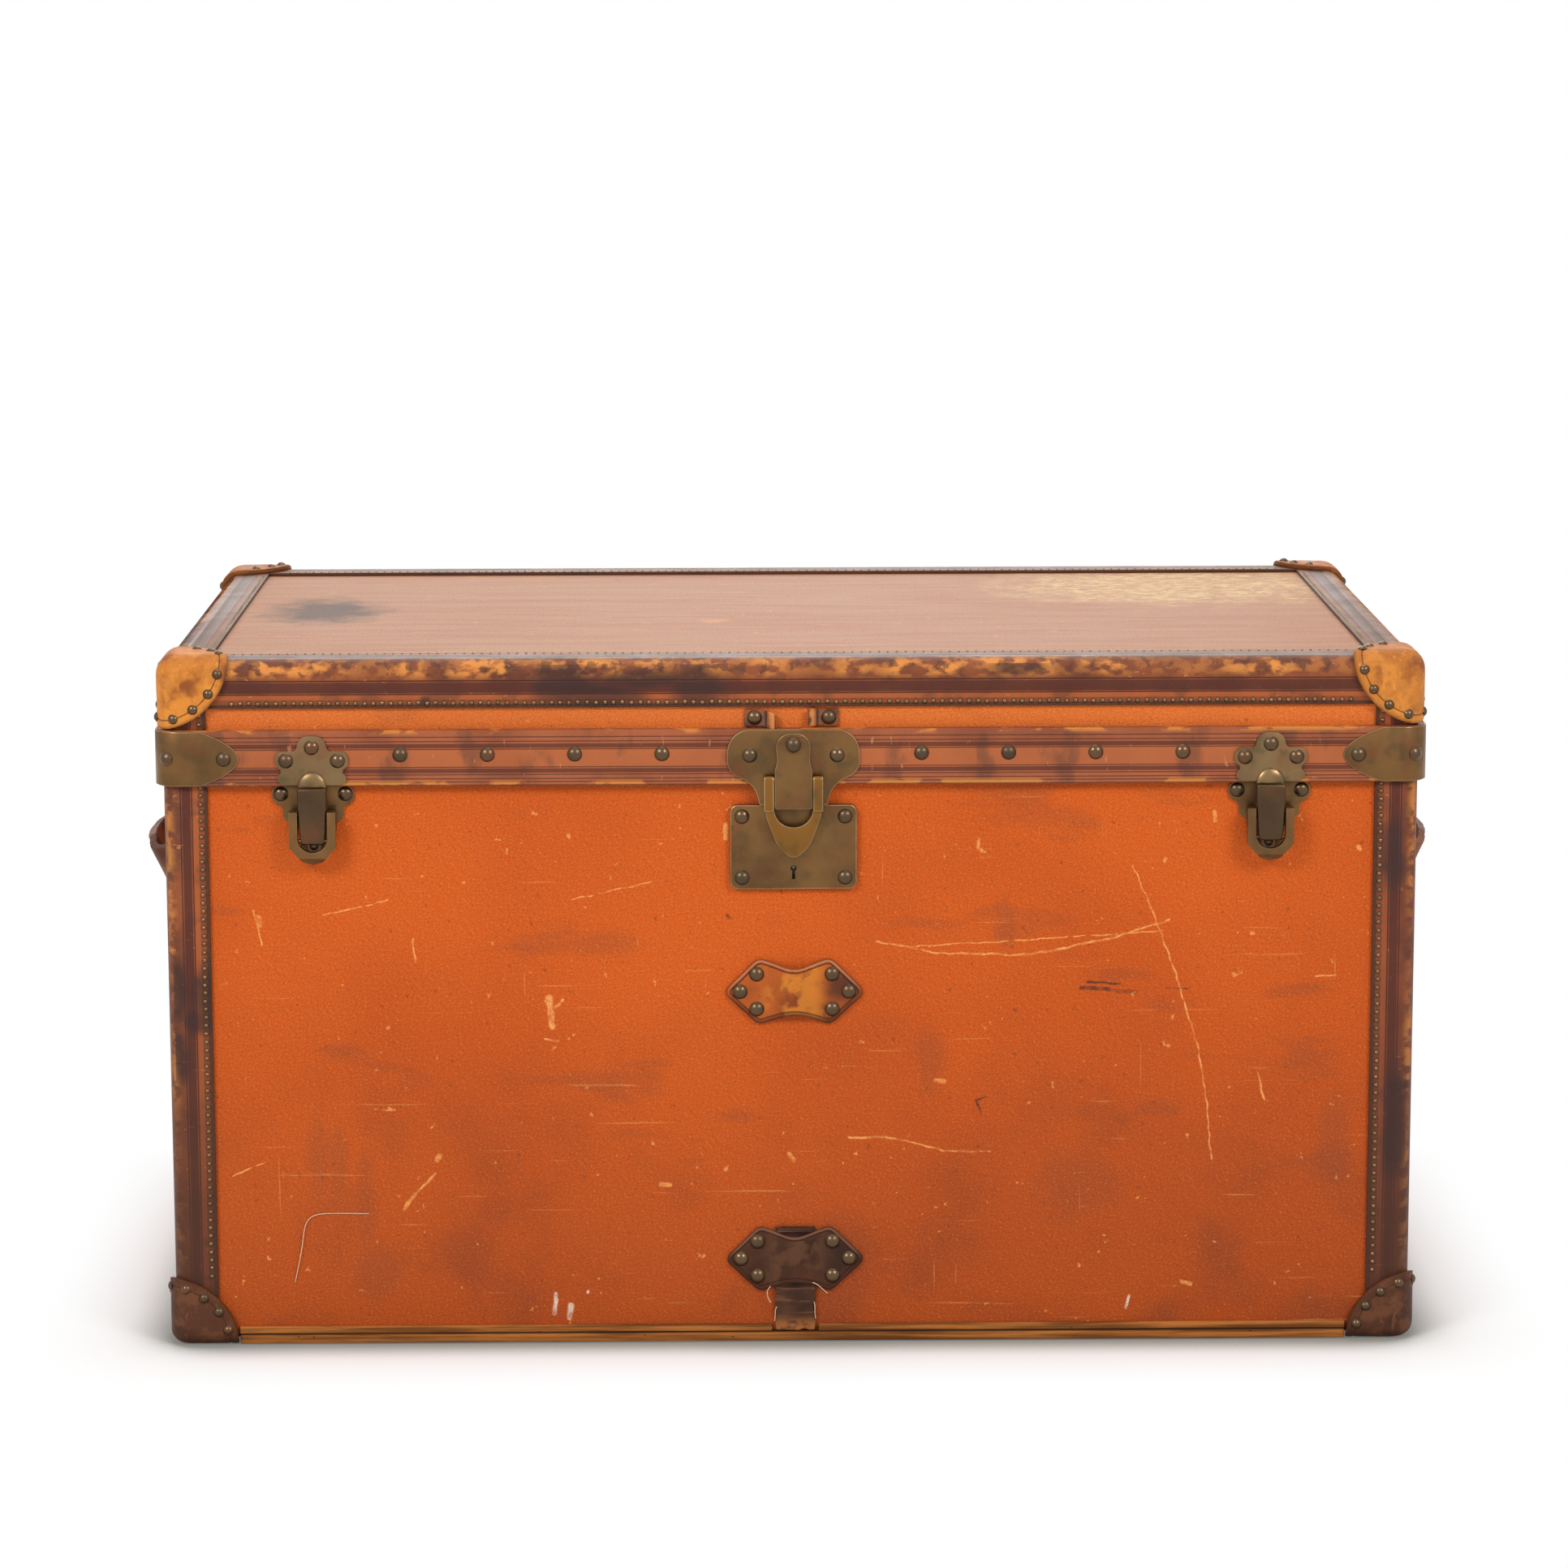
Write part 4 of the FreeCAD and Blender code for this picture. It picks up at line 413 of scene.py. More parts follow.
# Shader nodes
class Shades:
    """The nodes of one material or node group, and the base colour that its layers build up."""

    def __init__(self, tree):
        self.tree = tree
        self.base = None

    def join(self, value, socket):
        """Links or sets a socket. A colour socket also takes a colour written as on a screen."""
        if isinstance(value, bpy.types.NodeSocket):
            self.tree.links.new(value, socket)
        elif socket.type == "RGBA" and len(value) == 3:
            socket.default_value = colour(*value)
        else:
            socket.default_value = value

    def add(self, kind, sockets=(), **settings):
        node = self.tree.nodes.new("ShaderNode" + kind)
        for key, value in settings.items():
            setattr(node, key, value)
        for key, value in dict(sockets).items():
            self.join(value, node.inputs[key])
        return node

    def maths(self, operation, *values):
        return self.add("Math", dict(enumerate(values)), operation=operation).outputs[0]

    def vectors(self, operation, *values, out="Vector"):
        return self.add("VectorMath", dict(enumerate(values)), operation=operation).outputs[out]

    def parts(self, place):
        """The X, Y and Z of a place."""
        return self.add("SeparateXYZ", {0: place}).outputs

    def step(self, value, low, high):
        """From 0 at low to 1 at high, smoothly; low may be the greater."""
        ends = {"Value": value, "From Min": low, "From Max": high}
        return self.add("MapRange", ends, interpolation_type="SMOOTHSTEP").outputs["Result"]

    def both(self, first, second):
        return self.maths("MULTIPLY", first, second)

    def either(self, first, second):
        return self.maths("MAXIMUM", first, second)

    def together(self, masks):
        """Where any of some masks is 1."""
        return reduce(self.either, masks)

    def mix(self, factor, first, second):
        return self.add("Mix", {0: factor, 6: first, 7: second}, data_type="RGBA").outputs[2]

    def clouds(self, place, scale, detail=2.0):
        ends = {"Vector": place, "Scale": scale, "Detail": detail}
        return self.add("TexNoise", ends).outputs["Fac"]

    def near(self, value, centre, half, soft):
        """A stripe of 1 round a value, with soft edges."""
        away = self.maths("ABSOLUTE", self.maths("SUBTRACT", value, centre))
        return self.step(away, half + soft, half)

    def grouped(self, name, **sockets):
        return self.add("Group", sockets, node_tree=bpy.data.node_groups[name]).outputs

    def stretched(self, by):
        return self.vectors("MULTIPLY", self.here, by)

    def patches(self, scale, low, high, start=(0.0, 0.0, 0.0), by=None):
        """Broken patches over a piece, shifted by a start and stretched each way."""
        place = self.here if by is None else self.stretched(by)
        moved = self.vectors("ADD", place, start)
        found = self.grouped("Broken patches", Vector=moved, Scale=scale, Low=low, High=high)
        return found["Mask"]

    def scratches(self, sheet, marks):
        return self.together([self.grouped("Scratch", Sheet=sheet, Start=start + (0.0,),
                                           End=end + (0.0,), Width=width)["Mask"]
                              for start, end, width in marks])

    def stains(self, sheet, marks):
        return self.together([self.grouped("Stain", Sheet=sheet, Centre=centre + (0.0,),
                                           Size=size + (1.0,))["Mask"]
                              for centre, size in marks])

    def shaded(self, base, mask, strength, tint):
        """A colour with a tint laid over it where a mask is 1."""
        return self.mix(self.maths("MULTIPLY", mask, strength), base, tint)

    def lay(self, mask, strength, tint):
        """Lays a tint over the base colour where a mask is 1."""
        self.base = self.shaded(self.base, mask, strength, tint)

    def clouded(self, scale, detail, low, high, fresh, shade):
        """Starts the base colour as two tints in clouds, and gives the clouds."""
        tone = self.clouds(self.here, scale, detail)
        self.base = self.mix(self.step(tone, low, high), fresh, shade)
        return tone

    def finish(self, roughness, height=None, depth=0.0003, strength=1.0):
        """Sends the base colour, a roughness and a bump to the shader."""
        self.join(self.base, self.shader.inputs["Base Color"])
        self.join(roughness, self.shader.inputs["Roughness"])
        if height is not None:
            bump = self.add("Bump", {"Height": height, "Distance": depth, "Strength": strength})
            self.join(bump.outputs["Normal"], self.shader.inputs["Normal"])

    def finish_leather(self, roughness, strength):
        grain = self.grouped("Leather grain", Vector=self.here)
        self.finish(roughness, grain["Height"], 0.0005, strength)

    def shown(self, share, first, second):
        """Sends two shaders, mixed by a share, to the output."""
        blend = self.add("MixShader", {0: share, 1: first.outputs[0], 2: second.outputs[0]})
        output = next(node for node in self.tree.nodes if node.type.startswith("OUTPUT"))
        self.join(blend.outputs[0], output.inputs["Surface"])


def group_of(name, inputs, outputs):
    """A new shader node group, with its sockets, and its two ends."""
    tree = bpy.data.node_groups.new(name, "ShaderNodeTree")
    for label, kind, default in inputs:
        socket = tree.interface.new_socket(label, in_out="INPUT", socket_type="NodeSocket" + kind)
        if default is not None:
            socket.default_value = default
    for label, kind in outputs:
        tree.interface.new_socket(label, in_out="OUTPUT", socket_type="NodeSocket" + kind)
    ins, outs = tree.nodes.new("NodeGroupInput").outputs, tree.nodes.new("NodeGroupOutput").inputs
    return Shades(tree), ins, outs


def broken_patches_group():
    t, ins, outs = group_of("Broken patches", [("Vector", "Vector", None),
                                               ("Scale", "Float", 10.0), ("Low", "Float", 0.5),
                                               ("High", "Float", 0.6)], [("Mask", "Float")])
    wide = t.clouds(ins["Vector"], ins["Scale"], 5.0)
    t.join(t.step(wide, ins["Low"], ins["High"]), outs["Mask"])


def face_sheet_group():
    """Flat coordinates on the box's faces: across and up, or across and back on top."""
    t, ins, outs = group_of("Face sheet", [("Vector", "Vector", None), ("Normal", "Vector", None)],
                            [("Sheet", "Vector"), ("Top", "Float"), ("Front", "Float")])
    place = t.parts(ins["Vector"])
    normal = t.parts(ins["Normal"])
    end = t.step(t.maths("ABSOLUTE", normal["X"]), 0.6, 0.8)
    top = t.step(t.maths("ABSOLUTE", normal["Z"]), 0.6, 0.8)
    across = t.add("Mix", {0: end, 2: place["X"], 3: place["Y"]}).outputs[0]
    rise = t.add("Mix", {0: top, 2: place["Z"], 3: place["Y"]}).outputs[0]
    sheet = t.add("CombineXYZ", {"X": across, "Y": rise}).outputs[0]
    t.join(sheet, outs["Sheet"])
    t.join(t.step(normal["Z"], 0.6, 0.8), outs["Top"])
    t.join(t.step(normal["Y"], -0.6, -0.8), outs["Front"])


def twill_group():
    """Short slanting strokes of a painted twill."""
    t, ins, outs = group_of("Twill", [("Sheet", "Vector", None)], [("Height", "Float")])
    slant = math.radians(40)
    along = t.vectors("DOT_PRODUCT", ins["Sheet"], (math.cos(slant), math.sin(slant), 0),
                      out="Value")
    cross = t.vectors("DOT_PRODUCT", ins["Sheet"], (-math.sin(slant), math.cos(slant), 0),
                      out="Value")
    strokes = t.add("CombineXYZ", {"X": t.maths("MULTIPLY", along, 420.0),
                                   "Y": t.maths("MULTIPLY", cross, 1150.0)}).outputs[0]
    t.join(t.clouds(strokes, 1.0, 1.0), outs["Height"])


def leather_grain_group():
    t, ins, outs = group_of("Leather grain", [("Vector", "Vector", None)],
                            [("Height", "Float"), ("Pores", "Float")])
    cells = t.add("TexVoronoi", {"Vector": ins["Vector"], "Scale": 900.0},
                  feature="DISTANCE_TO_EDGE").outputs["Distance"]
    pores = t.step(cells, 0.0, 0.12)
    creases = t.clouds(ins["Vector"], 260.0, 4.0)
    total = t.maths("ADD", t.maths("MULTIPLY", pores, 0.35), creases)
    t.join(total, outs["Height"])
    t.join(pores, outs["Pores"])


def scratch_group():
    """A line between two points of a sheet, a little ragged."""
    t, ins, outs = group_of("Scratch", [("Sheet", "Vector", None), ("Start", "Vector", None),
                                        ("End", "Vector", None), ("Width", "Float", 0.001)],
                            [("Mask", "Float")])
    ragged = t.add("TexNoise", {"Vector": ins["Sheet"], "Scale": 90.0}).outputs["Color"]
    shake = t.vectors("SCALE", t.vectors("SUBTRACT", ragged, (0.5, 0.5, 0.5)))
    shake.node.inputs["Scale"].default_value = 0.004
    place = t.vectors("SUBTRACT", t.vectors("ADD", ins["Sheet"], shake), ins["Start"])
    run = t.vectors("SUBTRACT", ins["End"], ins["Start"])
    share = t.maths("DIVIDE", t.vectors("DOT_PRODUCT", place, run, out="Value"),
                    t.vectors("DOT_PRODUCT", run, run, out="Value"))
    share = t.add("Clamp", {"Value": share}).outputs[0]
    nearest = t.vectors("SCALE", run)
    t.join(share, nearest.node.inputs["Scale"])
    away = t.vectors("LENGTH", t.vectors("SUBTRACT", place, nearest), out="Value")
    line = t.step(away, ins["Width"], t.maths("MULTIPLY", ins["Width"], 0.4))
    faint = t.step(t.clouds(ins["Sheet"], 110.0, 4.0), 0.30, 0.62)
    t.join(t.both(line, t.maths("MULTIPLY_ADD", faint, 0.75, 0.25)), outs["Mask"])


def stain_group():
    """A soft-edged blotch round a point of a sheet."""
    t, ins, outs = group_of("Stain", [("Sheet", "Vector", None), ("Centre", "Vector", None),
                                      ("Size", "Vector", None)], [("Mask", "Float")])
    place = t.vectors("DIVIDE", t.vectors("SUBTRACT", ins["Sheet"], ins["Centre"]), ins["Size"])
    away = t.vectors("LENGTH", place, out="Value")
    ragged = t.maths("MULTIPLY", t.clouds(ins["Sheet"], 35.0, 4.0), 0.9)
    t.join(t.step(t.maths("ADD", away, ragged), 1.45, 0.75), outs["Mask"])


def edging_group():
    """How far a point of the leather edging lies from the box's outer edge, across the strip."""
    t, ins, outs = group_of("Edging", [("Vector", "Vector", None)],
                            [("Across", "Float"), ("Rise", "Float")])
    place = t.parts(ins["Vector"])
    end = t.maths("SUBTRACT", HALF_WIDTH, t.maths("ABSOLUTE", place["X"]))
    side = t.maths("SUBTRACT", HALF_DEPTH, t.maths("ABSOLUTE", place["Y"]))
    level = t.maths("MINIMUM", t.maths("SUBTRACT", TOP, place["Z"]),
                    t.maths("SUBTRACT", place["Z"], FOOT))
    low = t.maths("MINIMUM", end, side)
    high = t.maths("MAXIMUM", end, side)
    across = t.maths("MAXIMUM", low, t.maths("MINIMUM", high, level))
    t.join(across, outs["Across"])
    t.join(place["Z"], outs["Rise"])


def patina_group():
    """Cloudy patina on brass: how dark it is, where it is rubbed, and its fine pits."""
    t, ins, outs = group_of("Patina", [("Vector", "Vector", None)],
                            [("Dark", "Float"), ("Rubbed", "Float"), ("Height", "Float")])
    cloud = t.clouds(ins["Vector"], 24.0, 7.0)
    t.join(t.step(cloud, 0.30, 0.74), outs["Dark"])
    t.join(t.step(t.clouds(ins["Vector"], 190.0, 4.0), 0.60, 0.74), outs["Rubbed"])
    t.join(t.clouds(ins["Vector"], 900.0, 3.0), outs["Height"])


def new_material(name, gloss=0.3):
    """The nodes of a new material, with the place and the facing of each point."""
    made = bpy.data.materials.new(name)
    made.use_nodes = True
    shades = Shades(made.node_tree)
    shades.shader = shades.tree.nodes["Principled BSDF"]
    shades.shader.inputs["Specular IOR Level"].default_value = gloss
    place = shades.tree.nodes.new("ShaderNodeTexCoord").outputs
    shades.here, shades.facing = place["Object"], place["Normal"]
    return shades


# Marks of wear in metres across and up, or back on the top: scratches and drips as
# (start, end, width), stains as (centre, size)
PALE_SCRATCHES = (
    ((0.272, 0.392), (0.292, 0.346), 0.0009),
    ((0.292, 0.346), (0.308, 0.302), 0.0010),
    ((0.308, 0.302), (0.327, 0.240), 0.0010),
    ((0.327, 0.240), (0.334, 0.195), 0.0010),
    ((0.334, 0.195), (0.338, 0.150), 0.0010),
    ((0.068, 0.331), (0.115, 0.321), 0.0010),
    ((0.115, 0.321), (0.190, 0.319), 0.0012),
    ((0.190, 0.319), (0.262, 0.334), 0.0013),
    ((0.262, 0.334), (0.302, 0.347), 0.0012),
    ((0.095, 0.326), (0.200, 0.332), 0.0008),
    ((0.200, 0.332), (0.297, 0.338), 0.0008),
    ((-0.175, 0.366), (-0.112, 0.380), 0.0008),
    ((-0.375, 0.354), (-0.323, 0.366), 0.0009),
    ((-0.195, 0.286), (-0.192, 0.262), 0.0034),
    ((-0.190, 0.278), (-0.184, 0.284), 0.0016),
    ((-0.199, 0.252), (-0.188, 0.251), 0.0012),
    ((-0.430, 0.358), (-0.424, 0.330), 0.0011),
    ((-0.427, 0.352), (-0.425, 0.347), 0.0036),
    ((-0.303, 0.335), (-0.302, 0.316), 0.0012),
    ((-0.313, 0.112), (-0.305, 0.124), 0.0022),
    ((-0.305, 0.124), (-0.288, 0.141), 0.0014),
    ((-0.286, 0.153), (-0.284, 0.156), 0.0030),
    ((-0.451, 0.140), (-0.424, 0.152), 0.0009),
    ((0.045, 0.170), (0.082, 0.169), 0.0013),
    ((0.082, 0.169), (0.122, 0.158), 0.0011),
    ((0.122, 0.158), (0.160, 0.157), 0.0009),
    ((0.375, 0.221), (0.380, 0.199), 0.0011),
    ((0.116, 0.216), (0.122, 0.215), 0.0028),
    ((-0.106, 0.132), (-0.099, 0.131), 0.0026),
    ((-0.053, 0.426), (-0.053, 0.415), 0.0024),
    ((0.149, 0.413), (0.149, 0.405), 0.0018),
    ((0.337, 0.435), (0.338, 0.428), 0.0020),
    ((-0.003, 0.156), (0.001, 0.151), 0.0024),
    ((0.315, 0.048), (0.322, 0.046), 0.0026),
    ((0.420, 0.300), (0.436, 0.302), 0.0009),
    ((0.452, 0.406), (0.454, 0.404), 0.0020),
)
WHITE_DRIPS = (
    ((-0.193, 0.024), (-0.192, 0.041), 0.0024),
    ((-0.181, 0.021), (-0.180, 0.031), 0.0030),
    ((-0.166, 0.041), (-0.1655, 0.042), 0.0016),
    ((0.270, 0.026), (0.272, 0.036), 0.0016),
)
DARK_SCRATCHES = (
    ((0.232, 0.292), (0.276, 0.288), 0.0022),
    ((0.236, 0.296), (0.262, 0.295), 0.0014),
    ((0.148, 0.200), (0.152, 0.188), 0.0013),
    ((0.148, 0.200), (0.156, 0.203), 0.0013),
    ((0.300, 0.292), (0.318, 0.290), 0.0009),
    ((-0.052, 0.352), (-0.049, 0.350), 0.0020),
)
DARK_STAINS = (
    ((-0.381, 0.160), (0.014, 0.052)),
    ((-0.366, 0.150), (0.012, 0.044)),
    ((-0.344, 0.118), (0.012, 0.060)),
    ((0.437, 0.160), (0.018, 0.060)),
    ((-0.046, 0.188), (0.022, 0.008)),
    ((0.292, 0.192), (0.026, 0.010)),
    ((-0.338, 0.060), (0.030, 0.034)),
    ((-0.020, 0.420), (0.030, 0.016)),
    ((0.170, 0.345), (0.014, 0.030)),
    ((0.230, 0.130), (0.050, 0.040)),
    ((0.110, 0.230), (0.016, 0.040)),
    ((-0.150, 0.330), (0.040, 0.016)),
)
RIM_STAINS = (
    ((-0.180, 0.541), (0.040, 0.030)),
    ((-0.150, 0.530), (0.050, 0.014)),
    ((-0.075, 0.540), (0.034, 0.026)),
    ((-0.113, 0.545), (0.070, 0.012)),
    ((-0.290, 0.527), (0.006, 0.006)),
    ((0.180, 0.552), (0.040, 0.008)),
)
POST_STAINS = (
    ((-0.469, 0.292), (0.016, 0.040)),
    ((-0.474, 0.268), (0.022, 0.016)),
    ((-0.491, 0.290), (0.010, 0.040)),
    ((-0.492, 0.240), (0.012, 0.040)),
    ((0.480, 0.400), (0.016, 0.040)),
    ((0.486, 0.180), (0.016, 0.070)),
)
TOP_SMUDGE = ((-0.393, 0.021), (0.064, 0.105))
TOP_PEEL = ((0.345, 0.165), (0.210, 0.170))


def canvas_material():
    tints = colours()
    t = new_material("painted_canvas", 0.12)
    here = t.here
    sheet, top, front = t.grouped("Face sheet", Vector=here, Normal=t.facing)
    rise = t.parts(here)["Z"]

    tone = t.clouded(3.2, 7.0, 0.36, 0.66, tints.canvas, tints.canvas_deep)
    # Painted light: the lid's canvas above the band is laid paler, as if lit from above
    t.lay(t.step(rise, 0.49, 0.505), 0.45, (226, 130, 62))
    # Painted shade: the canvas darkens towards the floor, evenly and in broken patches, as the
    # lamps above light the foot less
    foot = t.step(rise, 0.34, 0.0)
    t.lay(foot, 0.55, tints.canvas_foot)
    foot_shade_patches = t.both(foot, t.patches(13.0, 0.46, 0.70))
    t.lay(foot_shade_patches, 0.45, (112, 56, 34))

    streaks = t.clouds(t.stretched((3.0, 26.0, 26.0)), 3.0, 5.0)
    faded = t.mix(t.step(streaks, 0.34, 0.70), tints.canvas_top, (158, 108, 80))
    worn = t.patches(60.0, 0.66, 0.74, by=(0.6, 1.6, 1.0))
    faded = t.shaded(faded, worn, 0.35, (214, 160, 104))
    peel = t.stains(sheet, (TOP_PEEL,))
    fine = t.patches(150.0, 0.44, 0.60, by=(0.8, 2.2, 1.0))
    faded = t.shaded(faded, peel, 0.30, (196, 160, 112))
    faded = t.shaded(faded, t.both(peel, fine), 0.62, (226, 198, 138))
    smudge = t.stains(sheet, (TOP_SMUDGE,))
    faded = t.shaded(faded, smudge, 0.90, (52, 50, 46))
    t.base = t.mix(top, t.base, faded)

    dark_specks = t.patches(170.0, 0.67, 0.72)
    t.lay(dark_specks, 0.5, (104, 52, 32))
    pale_specks = t.patches(120.0, 0.70, 0.74, (3.0, 1.0, 2.0))
    t.lay(pale_specks, 0.6, tints.chipped)
    along = t.patches(26.0, 0.69, 0.73, by=(0.35, 0.35, 14.0))
    upward = t.patches(22.0, 0.70, 0.74, by=(16.0, 16.0, 0.5))
    t.lay(t.either(along, upward), 0.32, tints.chipped)
    upright = t.maths("SUBTRACT", 1.0, top)
    rubs = t.patches(9.0, 0.60, 0.72, (5.0, 0.0, 1.0), by=(1.0, 1.0, 3.0))
    t.lay(t.both(rubs, upright), 0.30, (120, 62, 40))

    stains = t.both(t.stains(sheet, DARK_STAINS), front)
    pale = t.both(t.scratches(sheet, PALE_SCRATCHES), front)
    dark = t.both(t.scratches(sheet, DARK_SCRATCHES), front)
    drips = t.both(t.scratches(sheet, WHITE_DRIPS), front)
    t.lay(stains, 0.24, (104, 62, 44))
    t.lay(pale, 0.85, tints.chipped)
    t.lay(dark, 0.85, (46, 34, 30))
    t.lay(drips, 0.9, (236, 220, 196))

    weave = t.grouped("Twill", Sheet=sheet)["Height"]
    t.lay(t.step(weave, 0.52, 0.34), 0.34, tints.canvas_foot)
    t.lay(t.step(weave, 0.52, 0.70), 0.16, tints.chipped)
    rough = t.maths("MULTIPLY_ADD", tone, 0.12, 0.48)
    t.finish(rough, weave, 0.0008, 0.8)


def edging_material(name, stripe, nail_line, width, worn, stains):
    """Leather edging: a tooled dark stripe, rubbed outer edge, dark dirt along the nails, painted
    shade towards the floor.
    """
    tints = colours()
    t = new_material(name, 0.2)
    here = t.here
    across, rise = t.grouped("Edging", Vector=here)
    sheet, top, front = t.grouped("Face sheet", Vector=here, Normal=t.facing)
    right = t.step(t.parts(here)["X"], 0.44, 0.49)
    tone = t.clouded(30.0, 6.0, 0.32, 0.68, tints.leather, tints.leather_shade)
    inner = t.step(across, stripe[1], stripe[1] + 0.002)
    t.lay(inner, 0.65, (172, 88, 42))
    t.lay(t.both(right, t.step(rise, 0.505, 0.46)), 0.5, (98, 46, 30))
    blots = t.patches(42.0, 0.52, 0.66)
    t.lay(blots, 0.5, (86, 50, 36))
    edge = t.step(across, worn[0], worn[1])
    wide = t.patches(17.0, 0.42, 0.56, (1.0, 0.0, 0.0))
    chips = t.patches(110.0, 0.42, 0.58, by=(0.6, 0.6, 1.0))
    rubbed = t.both(t.both(edge, chips), t.maths("MULTIPLY_ADD", wide, 0.7, 0.3))
    t.lay(rubbed, 0.9, tints.leather_pale)
    dark_chips = t.both(edge, t.patches(110.0, 0.56, 0.61, (2.0, 2.0, 0.0)))
    t.lay(dark_chips, 0.6, (70, 42, 34))
    scuffs = t.patches(60.0, 0.66, 0.70, (0.0, 4.0, 0.0), by=(2.0, 2.0, 5.0))
    t.lay(scuffs, 0.45, (206, 132, 78))
    middle = (stripe[0] + stripe[1]) / 2
    half = (stripe[1] - stripe[0]) / 2
    band = t.near(across, middle, half, 0.0003)
    t.lay(band, 0.85, tints.leather_dark)
    lines = t.either(t.near(across, stripe[0] - 0.0014, 0.0003, 0.0005),
                     t.near(across, stripe[1] + 0.0014, 0.0003, 0.0005))
    t.lay(lines, 0.8, (58, 26, 18))
    nails = t.near(across, nail_line, 0.0020, 0.0008)
    t.lay(nails, 0.5, (88, 46, 30))
    rim = t.step(across, width - 0.0036, width - 0.0022)
    t.lay(rim, 0.85, (52, 34, 24))
    faded = t.both(top, t.step(across, 0.004, 0.010))
    t.lay(faded, 0.6, (104, 84, 68))
    # Painted shade: the edging darkens towards the floor, as the canvas does
    foot = t.step(rise, 0.34, 0.05)
    t.lay(foot, 0.75, (66, 38, 26))
    spots = t.stains(sheet, stains)
    t.lay(t.both(spots, front), 0.75, (48, 32, 30))
    rough = t.maths("MULTIPLY_ADD", tone, 0.25, 0.32)
    t.finish_leather(rough, 0.6)


def band_material():
    """The closing band: two dark stripes with tooled lines beside them."""
    tints = colours()
    t = new_material("band_leather", 0.2)
    here = t.here
    rise = t.parts(here)["Z"]
    tone = t.clouded(22.0, 6.0, 0.32, 0.68, (160, 88, 54), (134, 72, 46))
    middle = t.near(rise, 0.482, 0.0075, 0.001)
    t.lay(middle, 0.6, (176, 96, 50))
    blots = t.patches(30.0, 0.55, 0.66, by=(1.0, 1.0, 0.5))
    t.lay(blots, 0.55, (88, 58, 46))
    bands = t.either(t.near(rise, 0.492, 0.0015, 0.0004), t.near(rise, 0.472, 0.0015, 0.0004))
    t.lay(bands, 0.75, tints.leather_dark)
    lines = t.together([t.near(rise, level, 0.00025, 0.0004) for level in BAND_LINES])
    t.lay(lines, 0.7, (70, 34, 24))
    edges = t.either(t.step(rise, 0.4660, 0.4610), t.step(rise, 0.5000, 0.504))
    rubbed = t.both(edges, t.patches(44.0, 0.54, 0.58, by=(0.5, 0.5, 1.0)))
    t.lay(rubbed, 0.85, (206, 128, 56))
    scuffs = t.patches(70.0, 0.66, 0.71, by=(3.0, 3.0, 1.0))
    t.lay(scuffs, 0.4, (206, 146, 104))
    t.lay(t.step(rise, 0.4616, 0.4602), 0.8, (66, 40, 28))
    rough = t.maths("MULTIPLY_ADD", tone, 0.25, 0.34)
    t.finish_leather(rough, 0.6)


def cap_material(name, corner, reach, fresh, shade, pale):
    """Moulded cap leather: mottled, with a tooled line that follows its rim."""
    t = new_material(name, 0.15)
    here = t.here
    folded = t.vectors("ABSOLUTE", here)
    away = t.vectors("DISTANCE", folded, corner, out="Value")
    t.clouded(40.0, 7.0, 0.48, 0.70, fresh, shade)
    parts = t.parts(here)
    # Darker towards the right and at the back
    darker_right_and_back = t.either(t.maths("MULTIPLY", t.step(parts["X"], 0.0, 0.4), 0.5),
                       t.step(parts["Y"], -0.1, 0.2))
    t.lay(darker_right_and_back, 0.6, shade)
    crown = t.step(parts["Z"], 0.545, 0.566)
    t.lay(crown, 0.45, shade)
    light = t.patches(62.0, 0.50, 0.62)
    t.lay(light, 0.35, pale)
    mottled = t.patches(210.0, 0.52, 0.68)
    t.lay(mottled, 0.28, shade)
    scuffs = t.patches(90.0, 0.62, 0.67, by=(3.0, 3.0, 1.0))
    t.lay(scuffs, 0.4, pale)
    line = t.near(away, reach - CAP_LINE, 0.0003, 0.0005)
    rim = t.step(away, reach - 0.004, reach)
    t.lay(line, 0.7, (70, 38, 22))
    t.lay(rim, 0.6, (88, 50, 28))
    t.finish_leather(0.5, 0.7)


def leather_material(name, fresh, shade, scale=30.0, rough=0.5, rubbed=None):
    """Plain leather, rubbed pale below a height where one is given, then with painted highlights
    along level creases.
    """
    t = new_material(name, 0.15)
    here = t.here
    t.clouded(scale, 6.0, 0.36, 0.66, fresh, shade)
    if rubbed is not None:
        low = t.step(t.parts(here)["Z"], *rubbed)
        worn = t.both(low, t.patches(70.0, 0.36, 0.52, by=(1.0, 1.0, 2.0)))
        t.lay(worn, 0.85, (178, 108, 56))
        # Painted highlight: pale streaks stretched level along the creases
        creases = t.patches(60.0, 0.52, 0.60, by=(0.4, 0.4, 4.0))
        t.lay(creases, 0.35, (132, 92, 66))
    spots = t.patches(scale * 4, 0.62, 0.70)
    t.lay(spots, 0.5, (60, 36, 26))
    t.finish_leather(rough, 0.7)


